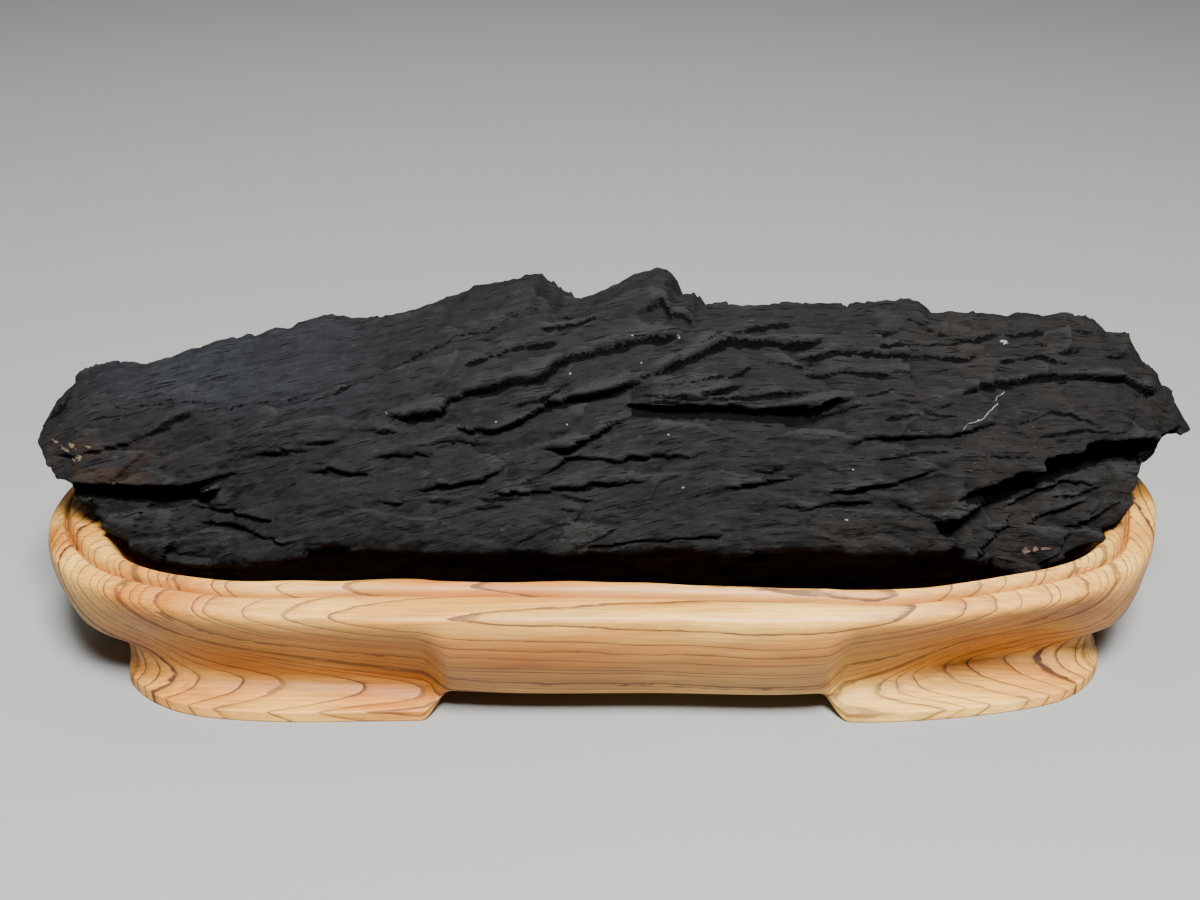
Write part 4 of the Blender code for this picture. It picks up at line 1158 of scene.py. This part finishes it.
    def hollow(self, places: np.ndarray, points: np.ndarray) -> np.ndarray:
        """Say where painted shade darkens the wood: the groove under the bead, the wall, its crease, the recess.
        """
        x, y, groove, bead, waist, _ = places.T
        inset = np.hypot(points[..., 0] - x, points[..., 1] - y)
        z = points[..., 2]
        in_groove = (np.exp(-((inset - groove) / 0.8) ** 2)
                     + 0.45 * np.exp(-((inset - groove - 1.6) / 1.6) ** 2)) * (z > 45.0)
        in_crease = np.exp(-((z - self.waist_z + 1.5) / 2.0) ** 2) * (inset > 6.0) * (inset < waist + 2.0)
        on_wall = region((11.0, 15.0, 36.0, 46.0), z) * (inset < waist + 2.0)
        in_recess = smoothstep(1.0, 6.0, inset - bead) * smoothstep(50.0, 46.0, z) * (z > 25.0)
        return np.clip(0.55 * in_groove + 0.16 * in_crease + 0.5 * on_wall + 0.7 * in_recess, 0.0, 0.8)

    def dress(self, body: bpy.types.Object) -> bpy.types.Object:
        """Give the stand its wood and its place on the part."""
        body.data.materials.append(OiledHardwood().material())
        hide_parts("stand")
        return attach(body, "root")


@dataclass(frozen=True)
class Placing:
    """How far the drawing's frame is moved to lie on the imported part, in millimetres."""

    x: float
    y: float

    @classmethod
    def measured(cls) -> "Placing":
        """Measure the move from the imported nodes' boxes.

        Returns:
            The placing.
        """
        rock_low, rock_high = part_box("rock")
        stand_low, stand_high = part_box("stand")
        drawn = Stand().outline()[:, 1]
        return cls(0.5 * (rock_low.x + rock_high.x) / MM - 0.5 * (Rock.left_x + Rock.right_x),
                   0.5 * (stand_low.y + stand_high.y) / MM - 0.5 * (drawn.min() + drawn.max()))


PLACING = Placing.measured()


@dataclass
class Studio:
    """A plain pale floor, soft lights and the camera at the photograph's angle."""

    floor_colour: str = "#8f908e"
    air_colour: str = "#e6e8ea"
    air_strength: float = 0.08
    floor_size: float = 8.0
    eye: tuple[float, float, float] = (0.0, -589.16, 356.86)
    pitch_down: float = 26.0
    lens: float = 54.0
    # Soft lights as (name, place, size, watts)
    lights: tuple[tuple[str, tuple[float, float, float], float, float], ...] = (
        ("key", (0.12, -0.79, 1.28), 0.42, 80.0),
        ("back", (-0.2, 0.7, 1.1), 1.0, 6.0),
    )

    def build(self) -> None:
        """Build the floor, the lights, the air's glow and the camera."""
        sheet = bmesh.new()
        bmesh.ops.create_grid(sheet, x_segments=1, y_segments=1, size=0.5 * self.floor_size)
        mesh = bpy.data.meshes.new("floor")
        sheet.to_mesh(mesh)
        sheet.free()
        floor = bpy.data.objects.new("floor", mesh)
        paint = Recipe("matt_floor_paint")
        paint.fill(paint.shader, {"Base Color": linear(self.floor_colour), "Roughness": 0.9})
        mesh.materials.append(paint.material)
        bpy.context.scene.collection.objects.link(floor)
        floor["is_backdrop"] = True
        world = bpy.data.worlds.new("soft_air")
        world.use_nodes = True
        glow = world.node_tree.nodes["Background"]
        glow.inputs["Color"].default_value = linear(self.air_colour)
        glow.inputs["Strength"].default_value = self.air_strength
        bpy.context.scene.world = world
        for name, place, size, watts in self.lights:
            lamp = bpy.data.lights.new(name, "AREA")
            lamp.size = size
            lamp.energy = watts
            holder = bpy.data.objects.new(name, lamp)
            holder.location = place
            holder.rotation_euler = (Vector((0.0, 0.0, 0.06)) - Vector(place)).to_track_quat("-Z", "Y").to_euler()
            bpy.context.scene.collection.objects.link(holder)
        view = bpy.data.cameras.new("photograph_view")
        view.lens = self.lens
        view.sensor_width = 36.0
        camera = bpy.data.objects.new("photograph_view", view)
        camera.location = Vector(self.eye) * MM + Vector((PLACING.x, PLACING.y, 0.0)) * MM
        camera.rotation_euler = (math.radians(90.0 - self.pitch_down), 0.0, 0.0)
        bpy.context.scene.collection.objects.link(camera)
        bpy.context.scene.camera = camera


def keep_sizes() -> None:
    boxes = {name: [list(corner) for corner in box] for name, box in
             (("cad", CAD_BOX), ("visual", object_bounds()))}


def main() -> None:
    """Build the rock, the stand and the studio, and report each piece."""
    logging.basicConfig(level=logging.INFO, format="%(message)s")
    for maker in (Rock(), Stand()):
        piece = maker.dress(maker.build())
        LOG.info("%s: %d vertices", piece.name, len(piece.data.vertices))
    Studio().build()
    keep_sizes()


if __name__ == "__main__":
    main()
